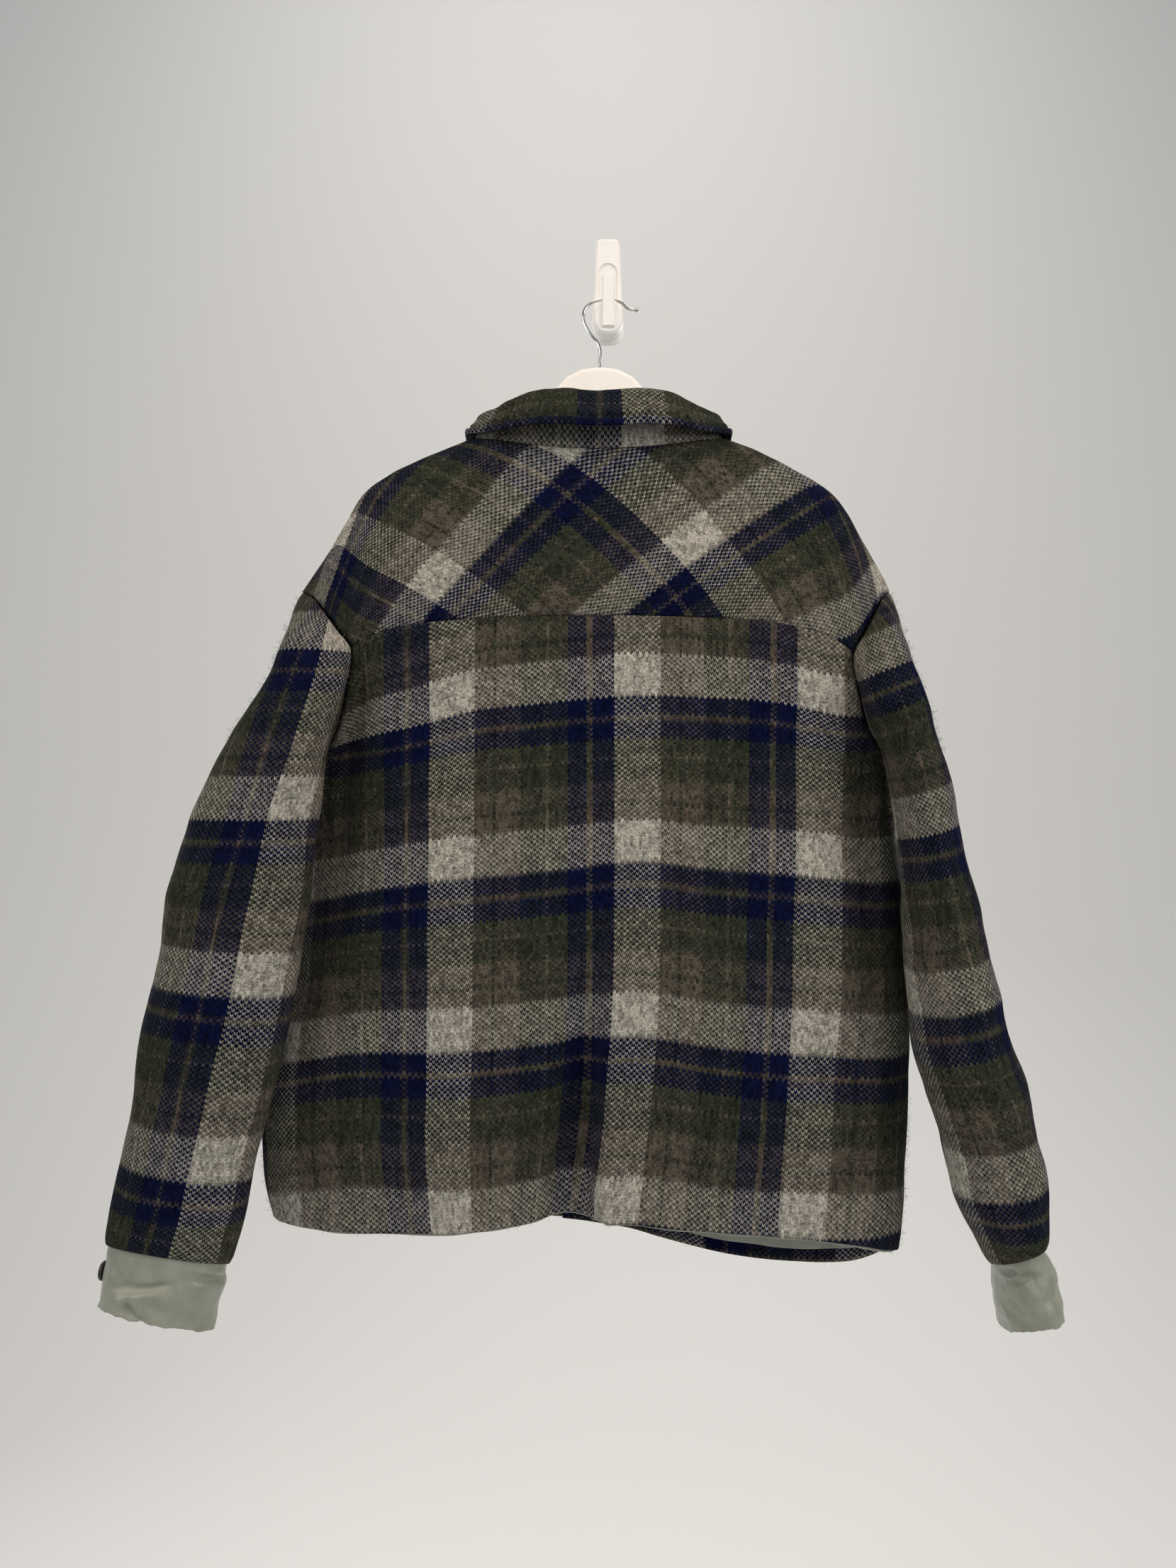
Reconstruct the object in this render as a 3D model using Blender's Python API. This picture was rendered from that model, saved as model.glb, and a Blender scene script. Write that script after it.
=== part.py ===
"""Reversible jacket on a hanger and wall hook. Metres, +Z up, the wall is the plane Y = 0.

The jacket's back faces -Y and its front faces the wall. Left is the -X side.
"""
import math

import bpy
import numpy as np

# Cloth thickness, and the gaps between sewn pieces and between layers
WOOL = 0.0030
SATIN = 0.0012
SEAM_GAP = 0.0003
LAYER_GAP = 0.0006
LINING_GAP = 0.0012

# Body sections from the hem up to the underarm
BODY_COLUMNS = ("z", "left", "right", "left_y", "right_y", "back_y", "front_y")
BODY = (
    (-0.905, -0.324, 0.281, -0.036, -0.036, -0.127, -0.014),
    (-0.847, -0.336, 0.287, -0.034, -0.035, -0.131, -0.013),
    (-0.781, -0.333, 0.290, -0.032, -0.034, -0.133, -0.012),
    (-0.728, -0.322, 0.293, -0.031, -0.032, -0.133, -0.012),
    (-0.688, -0.314, 0.293, -0.030, -0.031, -0.133, -0.012),
    (-0.621, -0.302, 0.289, -0.030, -0.030, -0.132, -0.012),
    (-0.555, -0.290, 0.282, -0.032, -0.031, -0.130, -0.012),
    (-0.500, -0.281, 0.273, -0.042, -0.041, -0.126, -0.013),
    (-0.465, -0.271, 0.262, -0.052, -0.052, -0.123, -0.015),
)
BODY_ROWS = 10
BODY_SQUARENESS = 2.25
CENTRE_X_NECK = -0.010
CENTRE_X_HEM = -0.025

# Armhole edge from the underarm up to the yoke seam
ARMHOLE_COLUMNS = ("z", "left", "right", "back_edge_y", "front_edge_y", "back_y", "front_y")
ARMHOLE = (
    (-0.465, -0.271, 0.2620, -0.052, -0.052, -0.123, -0.015),
    (-0.458, -0.266, 0.2570, -0.064, -0.043, -0.122, -0.016),
    (-0.435, -0.254, 0.2430, -0.077, -0.033, -0.121, -0.018),
    (-0.400, -0.243, 0.2310, -0.089, -0.026, -0.118, -0.021),
    (-0.366, -0.237, 0.2235, -0.097, -0.024, -0.115, -0.024),
)

# Hem height across the back and across the fronts
HEM_COLUMNS = ("x", "back_z", "front_z")
HEM = (
    (-0.322, -0.906, -0.906),
    (-0.200, -0.902, -0.914),
    (-0.100, -0.893, -0.918),
    (-0.040, -0.888, -0.920),
    (0.010, -0.886, -0.928),
    (0.060, -0.892, -0.942),
    (0.120, -0.899, -0.956),
    (0.200, -0.914, -0.962),
    (0.237, -0.922, -0.960),
    (0.260, -0.930, -0.952),
    (0.279, -0.938, -0.938),
)

# Folds of the back: place at the hem and at the top, spread to each side, depth, height where it fades
FOLD_COLUMNS = ("hem_x", "top_x", "left_spread", "right_spread", "depth", "top_z")
FOLDS = (
    (-0.030, -0.004, 0.050, 0.018, 0.024, -0.560),
    (0.190, 0.150, 0.050, 0.060, 0.007, -0.450),
    (-0.200, -0.160, 0.060, 0.050, 0.006, -0.480),
)

# Mesh columns of half the back, from the side edge to the neck and from the neck to the centre
SHOULDER_SHARES = (1.0, 0.985, 0.94, 0.87, 0.78, 0.68, 0.58, 0.48)
NECK_SHARES = (0.43, 0.36, 0.25, 0.15, 0.07)
CENTRE_SHARES = (0.008, -0.065)

# Yoke seam across the back, and the part of the yoke that lies in front of the shoulder
YOKE_Z = -0.339
YOKE_SAG = 0.011
YOKE_END_DROP = 0.016
YOKE_HALF = 0.227
YOKE_STEPS = (0.24, 0.44, 0.62, 0.77, 0.90, 1.0)
YOKE_FRONT = 0.022
YOKE_FRONT_STEPS = (0.42, 0.74, 1.0)
YOKE_START_LEAN = 0.03
YOKE_START_RISE = 0.38
FRONT_TOP_ROWS = 5
FRONT_CURVE_RISE = 0.4

# Shoulder ridge from the sleeve seam over the hanger's end to the neck
SHOULDER_COLUMNS = ("left_x", "right_x", "z", "ridge_y", "back_pull", "front_pull")
SHOULDER = (
    (-0.2905, 0.2660, -0.311, -0.066, 0.036, 0.034),
    (-0.2700, 0.2495, -0.279, -0.063, 0.036, 0.032),
    (-0.2520, 0.2325, -0.246, -0.060, 0.034, 0.030),
    (-0.2350, 0.2130, -0.217, -0.056, 0.032, 0.028),
    (-0.2075, 0.1860, -0.196, -0.053, 0.031, 0.027),
    (-0.1780, 0.1580, -0.181, -0.051, 0.031, 0.026),
    (-0.1500, 0.1300, -0.168, -0.049, 0.030, 0.026),
    (-0.1280, 0.1090, -0.160, -0.047, 0.030, 0.025),
)

# Neck seam: an oval, low at the front
NECK_X = -0.009
NECK_HALF = 0.119
NECK_BACK = 0.037
NECK_DIP = 0.0175
NECK_PULL = 0.026
NECK_SLOPE = 60.0
FRONT_NECK_DROP = 0.066
FRONT_NECK_Y = -0.030

# Lap of the left front over the right
LAP_STEP = 0.0042
LAP_START = 0.17
LAP_FULL = 0.08

# Sleeves: outer and inner edge of each section, where they lie, and the bulge to the back and to the front
SLEEVE_COLUMNS = ("outer_x", "outer_z", "inner_x", "inner_z", "y", "back", "front")
SLEEVE_LEFT = (
    (-0.3144, -0.402, -0.2590, -0.500, -0.108, 0.0440, 0.0300),
    (-0.3499, -0.462, -0.2640, -0.539, -0.111, 0.0460, 0.0360),
    (-0.3791, -0.525, -0.2690, -0.584, -0.112, 0.0475, 0.0420),
    (-0.3976, -0.582, -0.2760, -0.625, -0.112, 0.0480, 0.0460),
    (-0.4059, -0.635, -0.2833, -0.668, -0.112, 0.0475, 0.0475),
    (-0.4160, -0.686, -0.2915, -0.712, -0.111, 0.0465, 0.0465),
    (-0.4282, -0.735, -0.3005, -0.755, -0.110, 0.0450, 0.0450),
    (-0.4361, -0.790, -0.3137, -0.802, -0.107, 0.0430, 0.0430),
    (-0.4460, -0.837, -0.3259, -0.847, -0.104, 0.0410, 0.0410),
    (-0.4551, -0.880, -0.3347, -0.893, -0.101, 0.0390, 0.0390),
    (-0.4625, -0.914, -0.3480, -0.934, -0.098, 0.0370, 0.0370),
)
SLEEVE_RIGHT = (
    (0.2797, -0.394, 0.2539, -0.500, -0.104, 0.0460, 0.0320),
    (0.2961, -0.451, 0.2590, -0.536, -0.107, 0.0490, 0.0380),
    (0.3091, -0.505, 0.2647, -0.578, -0.108, 0.0510, 0.0440),
    (0.3226, -0.559, 0.2681, -0.619, -0.108, 0.0520, 0.0490),
    (0.3357, -0.615, 0.2703, -0.658, -0.108, 0.0530, 0.0530),
    (0.3478, -0.668, 0.2750, -0.701, -0.107, 0.0530, 0.0530),
    (0.3618, -0.718, 0.2794, -0.740, -0.105, 0.0530, 0.0530),
    (0.3778, -0.765, 0.2908, -0.775, -0.102, 0.0525, 0.0525),
    (0.3893, -0.808, 0.3045, -0.811, -0.098, 0.0515, 0.0515),
    (0.3978, -0.851, 0.3143, -0.851, -0.094, 0.0500, 0.0500),
    (0.4044, -0.887, 0.3252, -0.885, -0.090, 0.0480, 0.0480),
    (0.4017, -0.920, 0.3530, -0.939, -0.086, 0.0460, 0.0460),
)
SLEEVE_SQUARENESS = 2.1
SWELL_AT = 0.35
SWELL = 0.010
SWELL_TOP = 0.35
SWELL_FROM = 0.45
SWELL_TO = 0.85
UNDERARM_TUCK = 0.7

# Underarm: its angle round a sleeve, and how the sleeve stands off the body there: start on the back, end on
# the front, share at each section
UNDERARM_ANGLE = math.radians(214.0)
UNDERARM_START = 0.86
UNDERARM_END = (0.75, 0.30)
UNDERARM_SHARES = (1.0, 1.0, 0.6, 0.25)
UNDERARM_OUT_LEFT = -0.020
UNDERARM_OUT_RIGHT = 0.020

# Cuffs: sections below the sleeve hem, with the depth of the part hidden in the sleeve
CUFF_LEFT = (
    (-0.4610, -0.928, -0.3530, -0.948, -0.098, 0.0340, 0.0340),
    (-0.4632, -0.950, -0.3585, -0.968, -0.099, 0.0340, 0.0340),
    (-0.4675, -0.970, -0.3635, -0.993, -0.100, 0.0350, 0.0350),
)
CUFF_RIGHT = (
    (0.4075, -0.938, 0.3590, -0.955, -0.086, 0.0440, 0.0440),
    (0.4135, -0.962, 0.3620, -0.978, -0.085, 0.0445, 0.0445),
    (0.4180, -0.986, 0.3665, -1.000, -0.084, 0.0455, 0.0455),
)
CUFF_TUCK = 0.40

# Collar by the run along the neck seam from the centre back: turn of its outward side, height of the
# stand, its lean inward, reach and drop of the fall
COLLAR_COLUMNS = ("run", "angle", "stand", "lean", "reach", "drop")
COLLAR = (
    (0.000, 0.0, 0.046, 0.006, 0.034, 0.034),
    (0.055, 12.0, 0.0450, 0.006, 0.034, 0.034),
    (0.080, 24.0, 0.0365, 0.008, 0.032, 0.031),
    (0.100, 40.0, 0.0265, 0.011, 0.028, 0.024),
    (0.120, 62.0, 0.0195, 0.013, 0.024, 0.017),
    (0.140, 90.0, 0.0175, 0.012, 0.023, 0.015),
    (0.165, 122.0, 0.020, 0.008, 0.023, 0.023),
    (0.205, 155.0, 0.025, 0.005, 0.018, 0.042),
    (0.300, 178.0, 0.028, 0.003, 0.015, 0.058),
)
STAND_ROWS = 3
FALL_THICK = 0.0040
ROLL_REACH = 0.0080
ROLL_DROP = 0.00455
FALL_STEPS = (0.35, 0.7, 1.0)

# Roll of the collar over the stand's top edge: outside and inside of its section
ROLL_COLUMNS = ("out", "up")
ROLL_OUTSIDE = ((-0.0034, 0.0006), (-0.0018, 0.0048), (0.0025, 0.0065))
ROLL_INSIDE = ((0.0052, 0.0012), (0.0028, 0.0026), (0.0012, 0.0022), (0.0006, 0.0006))

# Lining strips inside the hem, and how far their lower edges lie above it
LINING_ROWS = 2
LINING_RAISE_BACK = -0.0025
LINING_RAISE_FRONT = 0.014

# Buttons
BUTTON_RADIUS = 0.009
BUTTON_THICK = 0.004
BUTTON_ROUNDING = 0.0008
FRONT_BUTTONS = 6
FRONT_BUTTON_TOP = -0.305
FRONT_BUTTON_STEP = 0.108
FRONT_BUTTON_SHARE = 0.2
FRONT_BUTTON_GAP = 0.0009
BUTTON_SIDES = 20

# Wire hook of the hanger, resting on the wall hook's seat
WIRE_RADIUS = 0.00155
WIRE_SIDES = 10
BALL_RADIUS = 0.0027
BALL_RINGS = 7
BALL_NECK = 0.8
BALL_TIP_ANGLE = 0.3
SEAT_Y = -0.0245
HANG_SLOPE = 0.157
WIRE_TOP_Z = -0.0165
OUTLINE_COLUMNS = ("x", "z")
HOOK = (
    (-0.0085, -0.0868),
    (-0.0085, -0.0670),
    (-0.0106, -0.0615),
    (-0.0160, -0.0549),
    (-0.0203, -0.0479),
    (-0.0240, -0.0385),
    (-0.0240, -0.0305),
    (-0.0213, -0.0247),
    (-0.0160, -0.0200),
    (-0.0083, -0.0172),
    (0.0000, -0.0165),
    (0.0071, -0.0172),
    (0.0127, -0.0200),
    (0.0176, -0.0249),
    (0.0217, -0.0270),
    (0.0252, -0.0272),
)

# Hanger: half outline of the dome and of the lower edge, measured from its middle
HANGER_X = -0.0085
HANGER_THICK = 0.010
HANGER_ROUNDING = 0.0045
HANGER_SEAT_GAP = 0.0016
HANGER_RIM = 0.3
TIP_UPPER = (0.019, 0.003)
TIP_LOWER = (0.015, -0.010)
DOME = ((0.0, -0.0872), (0.018, -0.0895), (0.0325, -0.0975), (0.044, -0.1110), (0.070, -0.1380),
        (0.098, -0.1590))
UNDERSIDE = ((0.212, -0.2330), (0.190, -0.2260), (0.150, -0.2100), (0.110, -0.1930), (0.070, -0.1740),
             (0.035, -0.1540), (0.0, -0.1420))

# Wall hook: back plate, lower boss with the seat, prong and arched recess
PLATE_TOP = 0.0514
PLATE_BOTTOM = -0.0533
PLATE_TOP_HALF = 0.0120
PLATE_LOW_HALF = 0.0157
PLATE_LOW_Z = -0.0380
PLATE_CORNER = 0.0060
PLATE_THICK = 0.0070
PLATE_ROUNDING = 0.0020
PLATE_CORNER_STEPS = 5
PLATE_END_STEPS = 8
PLATE_END_POWER = 0.8
BOSS_INSET = 0.0015
BOSS_SHOULDER = -0.0300
BOSS_BACK = -0.0035
SEAT_HALF = 0.0075
SEAT_FLAT_HALF = 0.0030
SEAT_CROWN = 0.0012
BOSS_FRONT = -0.0300
SEAT_Z = WIRE_TOP_Z - WIRE_RADIUS - SEAM_GAP
PRONG_HALF = 0.0061
PRONG_BACK = SEAT_Y - WIRE_RADIUS - SEAM_GAP
PRONG_THICK = 0.0070
PRONG_TOP = 0.0060
PRONG_BOTTOM = -0.0460
PRONG_CORNER_DROP = 0.0030
PRONG_TOP_HALF = 0.0037
PRONG_ROUNDING = 0.0012
RECESS_HALF = 0.0098
RECESS_TOP = 0.0270
RECESS_BOTTOM = -0.0150
RECESS_DEPTH = 0.0015
RECESS_STEPS = 10

# Colours and finish
WOOL_LOOK = ((0.105, 0.090, 0.070), 0.95, 0.0)
YOKE_LOOK = ((0.120, 0.103, 0.080), 0.95, 0.0)
COLLAR_LOOK = ((0.085, 0.072, 0.058), 0.95, 0.0)
SATIN_LOOK = ((0.300, 0.285, 0.220), 0.38, 0.0)
BUTTON_LOOK = ((0.012, 0.012, 0.013), 0.30, 0.0)
HANGER_LOOK = ((0.800, 0.790, 0.760), 0.45, 0.0)
CHROME_LOOK = ((0.620, 0.630, 0.640), 0.15, 1.0)
HOOK_LOOK = ((0.820, 0.830, 0.840), 0.35, 0.0)


def column(table, names, name):
    """One named column of a table as an array."""
    return np.array([row[names.index(name)] for row in table])


def smooth(value, xs, ys):
    """Smooth curve through (xs, ys), xs rising, level beyond both ends."""
    if value <= xs[0]:
        return ys[0]
    if value >= xs[-1]:
        return ys[-1]
    slopes = np.gradient(ys, xs)
    i = int(np.searchsorted(xs, value, side="right")) - 1
    step = xs[i + 1] - xs[i]
    t = (value - xs[i]) / step
    start = (1 + 2 * t) * (1 - t) ** 2 * ys[i] + t * (1 - t) ** 2 * step * slopes[i]
    end = t * t * (3 - 2 * t) * ys[i + 1] + t * t * (t - 1) * step * slopes[i + 1]
    return start + end


def read(table, names, key, value, name):
    """Smooth value of a named column at a value of the key column."""
    return smooth(value, column(table, names, key), column(table, names, name))


def ease(t):
    """Soft step from 0 to 1."""
    t = min(1.0, max(0.0, t))
    return t * t * (3 - 2 * t)


def unit(v):
    """Vector of length one."""
    return v / max(np.linalg.norm(v), 1e-12)


def bezier(p, t):
    """Point of the cubic curve with control points p."""
    s = 1 - t
    return s ** 3 * p[0] + 3 * s * s * t * p[1] + 3 * s * t * t * p[2] + t ** 3 * p[3]


def parameter_before_end(p, length):
    """Curve parameter that lies a length before the end of the cubic curve."""
    ts = np.linspace(0.0, 1.0, 81)
    path = np.array([bezier(p, t) for t in ts])
    run = np.concatenate(([0.0], np.cumsum(np.linalg.norm(np.diff(path, axis=0), axis=1))))
    return float(np.interp(run[-1] - length, run, ts))


# Surface of the body

def shoulder_row(index):
    """Named sizes of the shoulder ridge in a mesh column."""
    return dict(zip(SHOULDER_COLUMNS, SHOULDER[index]))


def centre_x(z):
    """Middle of the body at a height: the jacket hangs a little to the left."""
    top = shoulder_row(-1)["z"]
    share = (top - z) / (top - BODY[0][0])
    return CENTRE_X_NECK + (CENTRE_X_HEM - CENTRE_X_NECK) * share


def bulge(share):
    """Depth share of a rounded section at a share of its half width."""
    inside = max(0.0, 1.0 - abs(share) ** BODY_SQUARENESS)
    return inside ** (1.0 / BODY_SQUARENESS)


def fold_depth(x, z):
    """How far the back is drawn in by its folds."""
    total = 0.0
    hem_z = BODY[0][0]
    for row in FOLDS:
        fold = dict(zip(FOLD_COLUMNS, row))
        rise = (z - hem_z) / (fold["top_z"] - hem_z)
        middle = fold["hem_x"] + (fold["top_x"] - fold["hem_x"]) * rise
        spread = fold["left_spread"] if x < middle else fold["right_spread"]
        total += fold["depth"] * (1 - ease(rise)) * math.exp(-((x - middle) / spread) ** 2)
    return total


def lap_depth(side, share):
    """The right front passes inside the left one at the centre."""
    if side == "left":
        return 0.0
    return LAP_STEP * ease((LAP_START - share) / (LAP_START - LAP_FULL))


def body_point(side, share, row, face):
    """Point of the lower body: row 0 is the hem, the last row the underarm."""
    z = BODY[0][0] + (BODY[-1][0] - BODY[0][0]) * row / BODY_ROWS
    edge_x = read(BODY, BODY_COLUMNS, "z", z, side)
    side_y = read(BODY, BODY_COLUMNS, "z", z, side + "_y")
    face_y = read(BODY, BODY_COLUMNS, "z", z, face + "_y")
    middle = centre_x(z)
    x = middle + (edge_x - middle) * share
    y = side_y + (face_y - side_y) * bulge(share)
    hem_z = read(HEM, HEM_COLUMNS, "x", x, face + "_z")
    lift = (hem_z - BODY[0][0]) * (1 - row / BODY_ROWS) ** 2
    if face == "back":
        y += fold_depth(x, z) * bulge(share)
    else:
        y -= lap_depth(side, share)
    return np.array((x, y, z + lift))


def yoke_seam_z(x):
    """Height of the yoke seam across the back."""
    reach = abs(x - CENTRE_X_NECK) / YOKE_HALF
    return YOKE_Z - YOKE_SAG * reach ** 2 - YOKE_END_DROP * reach ** 8


def chest_point(side, share, row, face):
    """Point between the underarm and the yoke seam, or the chest line in front."""
    z_edge, *_ = ARMHOLE[row]
    rise = (z_edge - ARMHOLE[0][0]) / (ARMHOLE[-1][0] - ARMHOLE[0][0])
    edge_x = ARMHOLE[row][ARMHOLE_COLUMNS.index(side)]
    edge_y = ARMHOLE[row][ARMHOLE_COLUMNS.index(face + "_edge_y")]
    face_y = ARMHOLE[row][ARMHOLE_COLUMNS.index(face + "_y")]
    middle = centre_x(z_edge)
    x = middle + (edge_x - middle) * share
    y = edge_y + (face_y - edge_y) * bulge(share)
    if face == "front":
        return np.array((x, y - lap_depth(side, share), z_edge))
    z = ARMHOLE[0][0] + rise * (yoke_seam_z(x) - ARMHOLE[0][0])
    return np.array((x, y + fold_depth(x, z) * bulge(share), z))


def ridge_point(side, index):
    """Point of the shoulder ridge in a mesh column."""
    row = shoulder_row(index)
    return np.array((row[side + "_x"], row["ridge_y"], row["z"]))


def back_curve(side, index, share):
    """Cubic curve up the yoke, from its seam to the ridge or to the neck seam."""
    low = chest_point(side, share, len(ARMHOLE) - 1, "back")
    if index < len(SHOULDER):
        top = ridge_point(side, index)
        pull = np.array((0.0, -shoulder_row(index)["back_pull"], 0.0))
    else:
        cos = share / SHOULDER_SHARES[-1]
        sin2 = 1 - cos * cos
        sign = -1 if side == "left" else 1
        corner = shoulder_row(-1)
        neck_y = corner["ridge_y"] - NECK_BACK * math.sqrt(sin2)
        top = np.array((NECK_X + sign * NECK_HALF * cos, neck_y, corner["z"] - NECK_DIP * sin2))
        slope = math.radians(NECK_SLOPE) * math.sqrt(sin2)
        pull = NECK_PULL * np.array((0.0, -math.cos(slope), -math.sin(slope)))
    third = np.array(((top[0] - low[0]) / 3, 0.0, 0.0))
    rise = top[2] - low[2]
    start = low + third + np.array((0.0, YOKE_START_LEAN * rise, YOKE_START_RISE * rise))
    return (low, start, top - third + pull, top)


def front_curve(side, index, share):
    """Cubic curve up the front, from the chest line to the ridge or to the neck seam."""
    low = chest_point(side, share, len(ARMHOLE) - 1, "front")
    if index < len(SHOULDER):
        top = ridge_point(side, index)
        pull = np.array((0.0, shoulder_row(index)["front_pull"], 0.0))
    else:
        corner_curve = front_curve(side, len(SHOULDER) - 1, SHOULDER_SHARES[-1])
        corner = bezier(corner_curve, parameter_before_end(corner_curve, YOKE_FRONT))
        cos = min(1.0, abs(share) / SHOULDER_SHARES[-1])
        fall = math.sin(math.pi / 2 * (1 - cos))
        x = NECK_X + (corner[0] - NECK_X) * share / SHOULDER_SHARES[-1]
        y = corner[1] + (FRONT_NECK_Y - corner[1]) * fall - lap_depth(side, share)
        top = np.array((x, y, corner[2] - FRONT_NECK_DROP * fall))
        pull = np.array((0.0, 0.0, -FRONT_CURVE_RISE * (top[2] - low[2])))
    third = np.array(((top[0] - low[0]) / 3, 0.0, 0.0))
    start = low + third + np.array((0.0, 0.0, FRONT_CURVE_RISE * (top[2] - low[2])))
    return (low, start, top - third + pull, top)


# Shell of joined panels: shared points give neighbouring panels the same normal at a seam

class Shell:
    """Points and the quads of each named panel."""

    def __init__(self):
        self.points = []
        self.quads = {}

    def add(self, xyz):
        self.points.append(np.array(xyz, dtype=float))
        return len(self.points) - 1

    def grid(self, panel, rows, flip):
        quads = self.quads.setdefault(panel, [])
        for low, high in zip(rows[:-1], rows[1:]):
            for i in range(len(low) - 1):
                quad = (low[i], low[i + 1], high[i + 1], high[i])
                quads.append(quad[::-1] if flip else quad)

    def normals(self):
        """Mean normal at each point: the body, the sleeves and the collar count once each where they meet."""
        parts = {}
        for panel in sorted(self.quads):
            group = panel.split("_")[0].replace("front", "back")
            part = parts.setdefault(group, np.zeros((len(self.points), 3)))
            for quad in self.quads[panel]:
                a, b, c, d = (self.points[i] for i in quad)
                for i in quad:
                    part[i] += unit(np.cross(c - a, d - b))
        total = sum(np.array([unit(n) for n in part]) for part in parts.values())
        return np.array([unit(n) for n in total])


def border(quads):
    """Directed border edges of a set of quads, as a map from start to end."""
    edges = {(q[k], q[(k + 1) % len(q)]) for q in quads for k in range(len(q))}
    return [(a, b) for a, b in edges if (b, a) not in edges]


def wall(points, normals, quads, depth, thick):
    """Closed wall under a panel: outer face a depth below the surface, edges drawn in by half the seam gap."""
    rim = border(quads)
    offset = {}
    after = dict(rim)
    before = {b: a for a, b in rim}
    for v in after:
        n = normals[v]
        d1 = unit(np.cross(n, points[v] - points[before[v]]))
        d2 = unit(np.cross(n, points[after[v]] - points[v]))
        offset[v] = (d1 + d2) / max(0.4, 1 + d1 @ d2) * SEAM_GAP / 2
    used = sorted({i for q in quads for i in q})
    place = {v: k for k, v in enumerate(used)}
    outer = [points[v] - normals[v] * depth + offset.get(v, 0.0) for v in used]
    inner = [p - normals[v] * thick for p, v in zip(outer, used)]
    count = len(used)
    faces = [tuple(place[i] for i in q) for q in quads]
    faces += [tuple(place[i] + count for i in q[::-1]) for q in quads]
    for a, b in sorted(rim):
        a_out, b_out, a_in, b_in = place[a], place[b], place[a] + count, place[b] + count
        if a < b:
            faces += [(b_out, a_out, b_in), (a_out, a_in, b_in)]
        else:
            faces += [(b_out, a_out, a_in), (b_out, a_in, b_in)]
    return outer + inner, faces


def loft(rings):
    """Closed solid through rings of points, with flat ends."""
    count = len(rings[0])
    verts = [p for ring in rings for p in ring]
    faces = [tuple(range(count))[::-1]]
    for r in range(len(rings) - 1):
        for i in range(count):
            j = (i + 1) % count
            faces.append((r * count + i, r * count + j, (r + 1) * count + j, (r + 1) * count + i))
    last = (len(rings) - 1) * count
    faces.append(tuple(range(last, last + count)))
    return verts, faces


def make_object(name, verts, faces, look, smooth_shade):
    """Named object with its own material."""
    mesh = bpy.data.meshes.new(name)
    mesh.from_pydata([tuple(float(c) for c in v) for v in verts], [], faces)
    mesh.validate()
    mesh.update()
    mesh.polygons.foreach_set("use_smooth", [smooth_shade] * len(mesh.polygons))
    colour, roughness, metallic = look
    material = bpy.data.materials.new(name)
    material.use_nodes = True
    shader = material.node_tree.nodes["Principled BSDF"]
    shader.inputs["Base Color"].default_value = (*colour, 1.0)
    shader.inputs["Roughness"].default_value = roughness
    shader.inputs["Metallic"].default_value = metallic
    material.diffuse_color = (*colour, 1.0)
    mesh.materials.append(material)
    item = bpy.data.objects.new(name, mesh)
    bpy.context.scene.collection.objects.link(item)
    return item


# Jacket shell

def half_columns(centre):
    """Column shares of half the body from the side to the centre."""
    return SHOULDER_SHARES + NECK_SHARES + centre


def back_grid(shell):
    """Index rows of the whole back, hem to ridge, left edge to right edge."""
    columns = [("left", i, s) for i, s in enumerate(half_columns((0.0,)))]
    columns += [("right", i, s) for i, s in enumerate(half_columns(()))][::-1]
    rows = []
    for row in range(BODY_ROWS + 1):
        rows.append([shell.add(body_point(side, s, row, "back")) for side, i, s in columns])
    for row in range(1, len(ARMHOLE)):
        rows.append([shell.add(chest_point(side, s, row, "back")) for side, i, s in columns])
    curves = [back_curve(side, i, s) for side, i, s in columns]
    for step in YOKE_STEPS:
        rows.append([shell.add(bezier(c, step)) for c in curves])
    return rows


def front_grid(shell, side, back_rows):
    """Index rows of one front and of the yoke's front part, side edge to centre edge."""
    columns = list(enumerate(half_columns(CENTRE_SHARES)))
    edge = 0 if side == "left" else -1
    rows = []
    for row in range(BODY_ROWS + 1):
        line = [shell.add(body_point(side, s, row, "front")) for i, s in columns[1:]]
        rows.append([back_rows[row][edge]] + line)
    for row in range(1, len(ARMHOLE)):
        rows.append([shell.add(chest_point(side, s, row, "front")) for i, s in columns])
    curves = [front_curve(side, i, s) for i, s in columns]
    seams = [parameter_before_end(c, YOKE_FRONT) if i < len(SHOULDER) else 1.0 for i, c in enumerate(curves)]
    for row in range(1, FRONT_TOP_ROWS + 1):
        rows.append([shell.add(bezier(c, t * row / FRONT_TOP_ROWS)) for c, t in zip(curves, seams)])
    ridge = back_rows[-1] if side == "left" else back_rows[-1][::-1]
    flap = [rows[-1][:len(SHOULDER)]]
    for step in YOKE_FRONT_STEPS[:-1]:
        picks = zip(curves[:len(SHOULDER)], seams)
        flap.append([shell.add(bezier(c, t + (1 - t) * step)) for c, t in picks])
    flap.append(ridge[:len(SHOULDER)])
    return rows, flap


def armhole_loop(back_rows, front_rows, flap, edge):
    """Indices around an armhole: shoulder, down the back, underarm, up the front."""
    back = [r[edge] for r in back_rows[BODY_ROWS:]][::-1]
    front = [r[0] for r in front_rows[BODY_ROWS + 1:]]
    over = [r[0] for r in flap[1:-1]]
    return back + front + over, len(back) - 1


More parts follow.
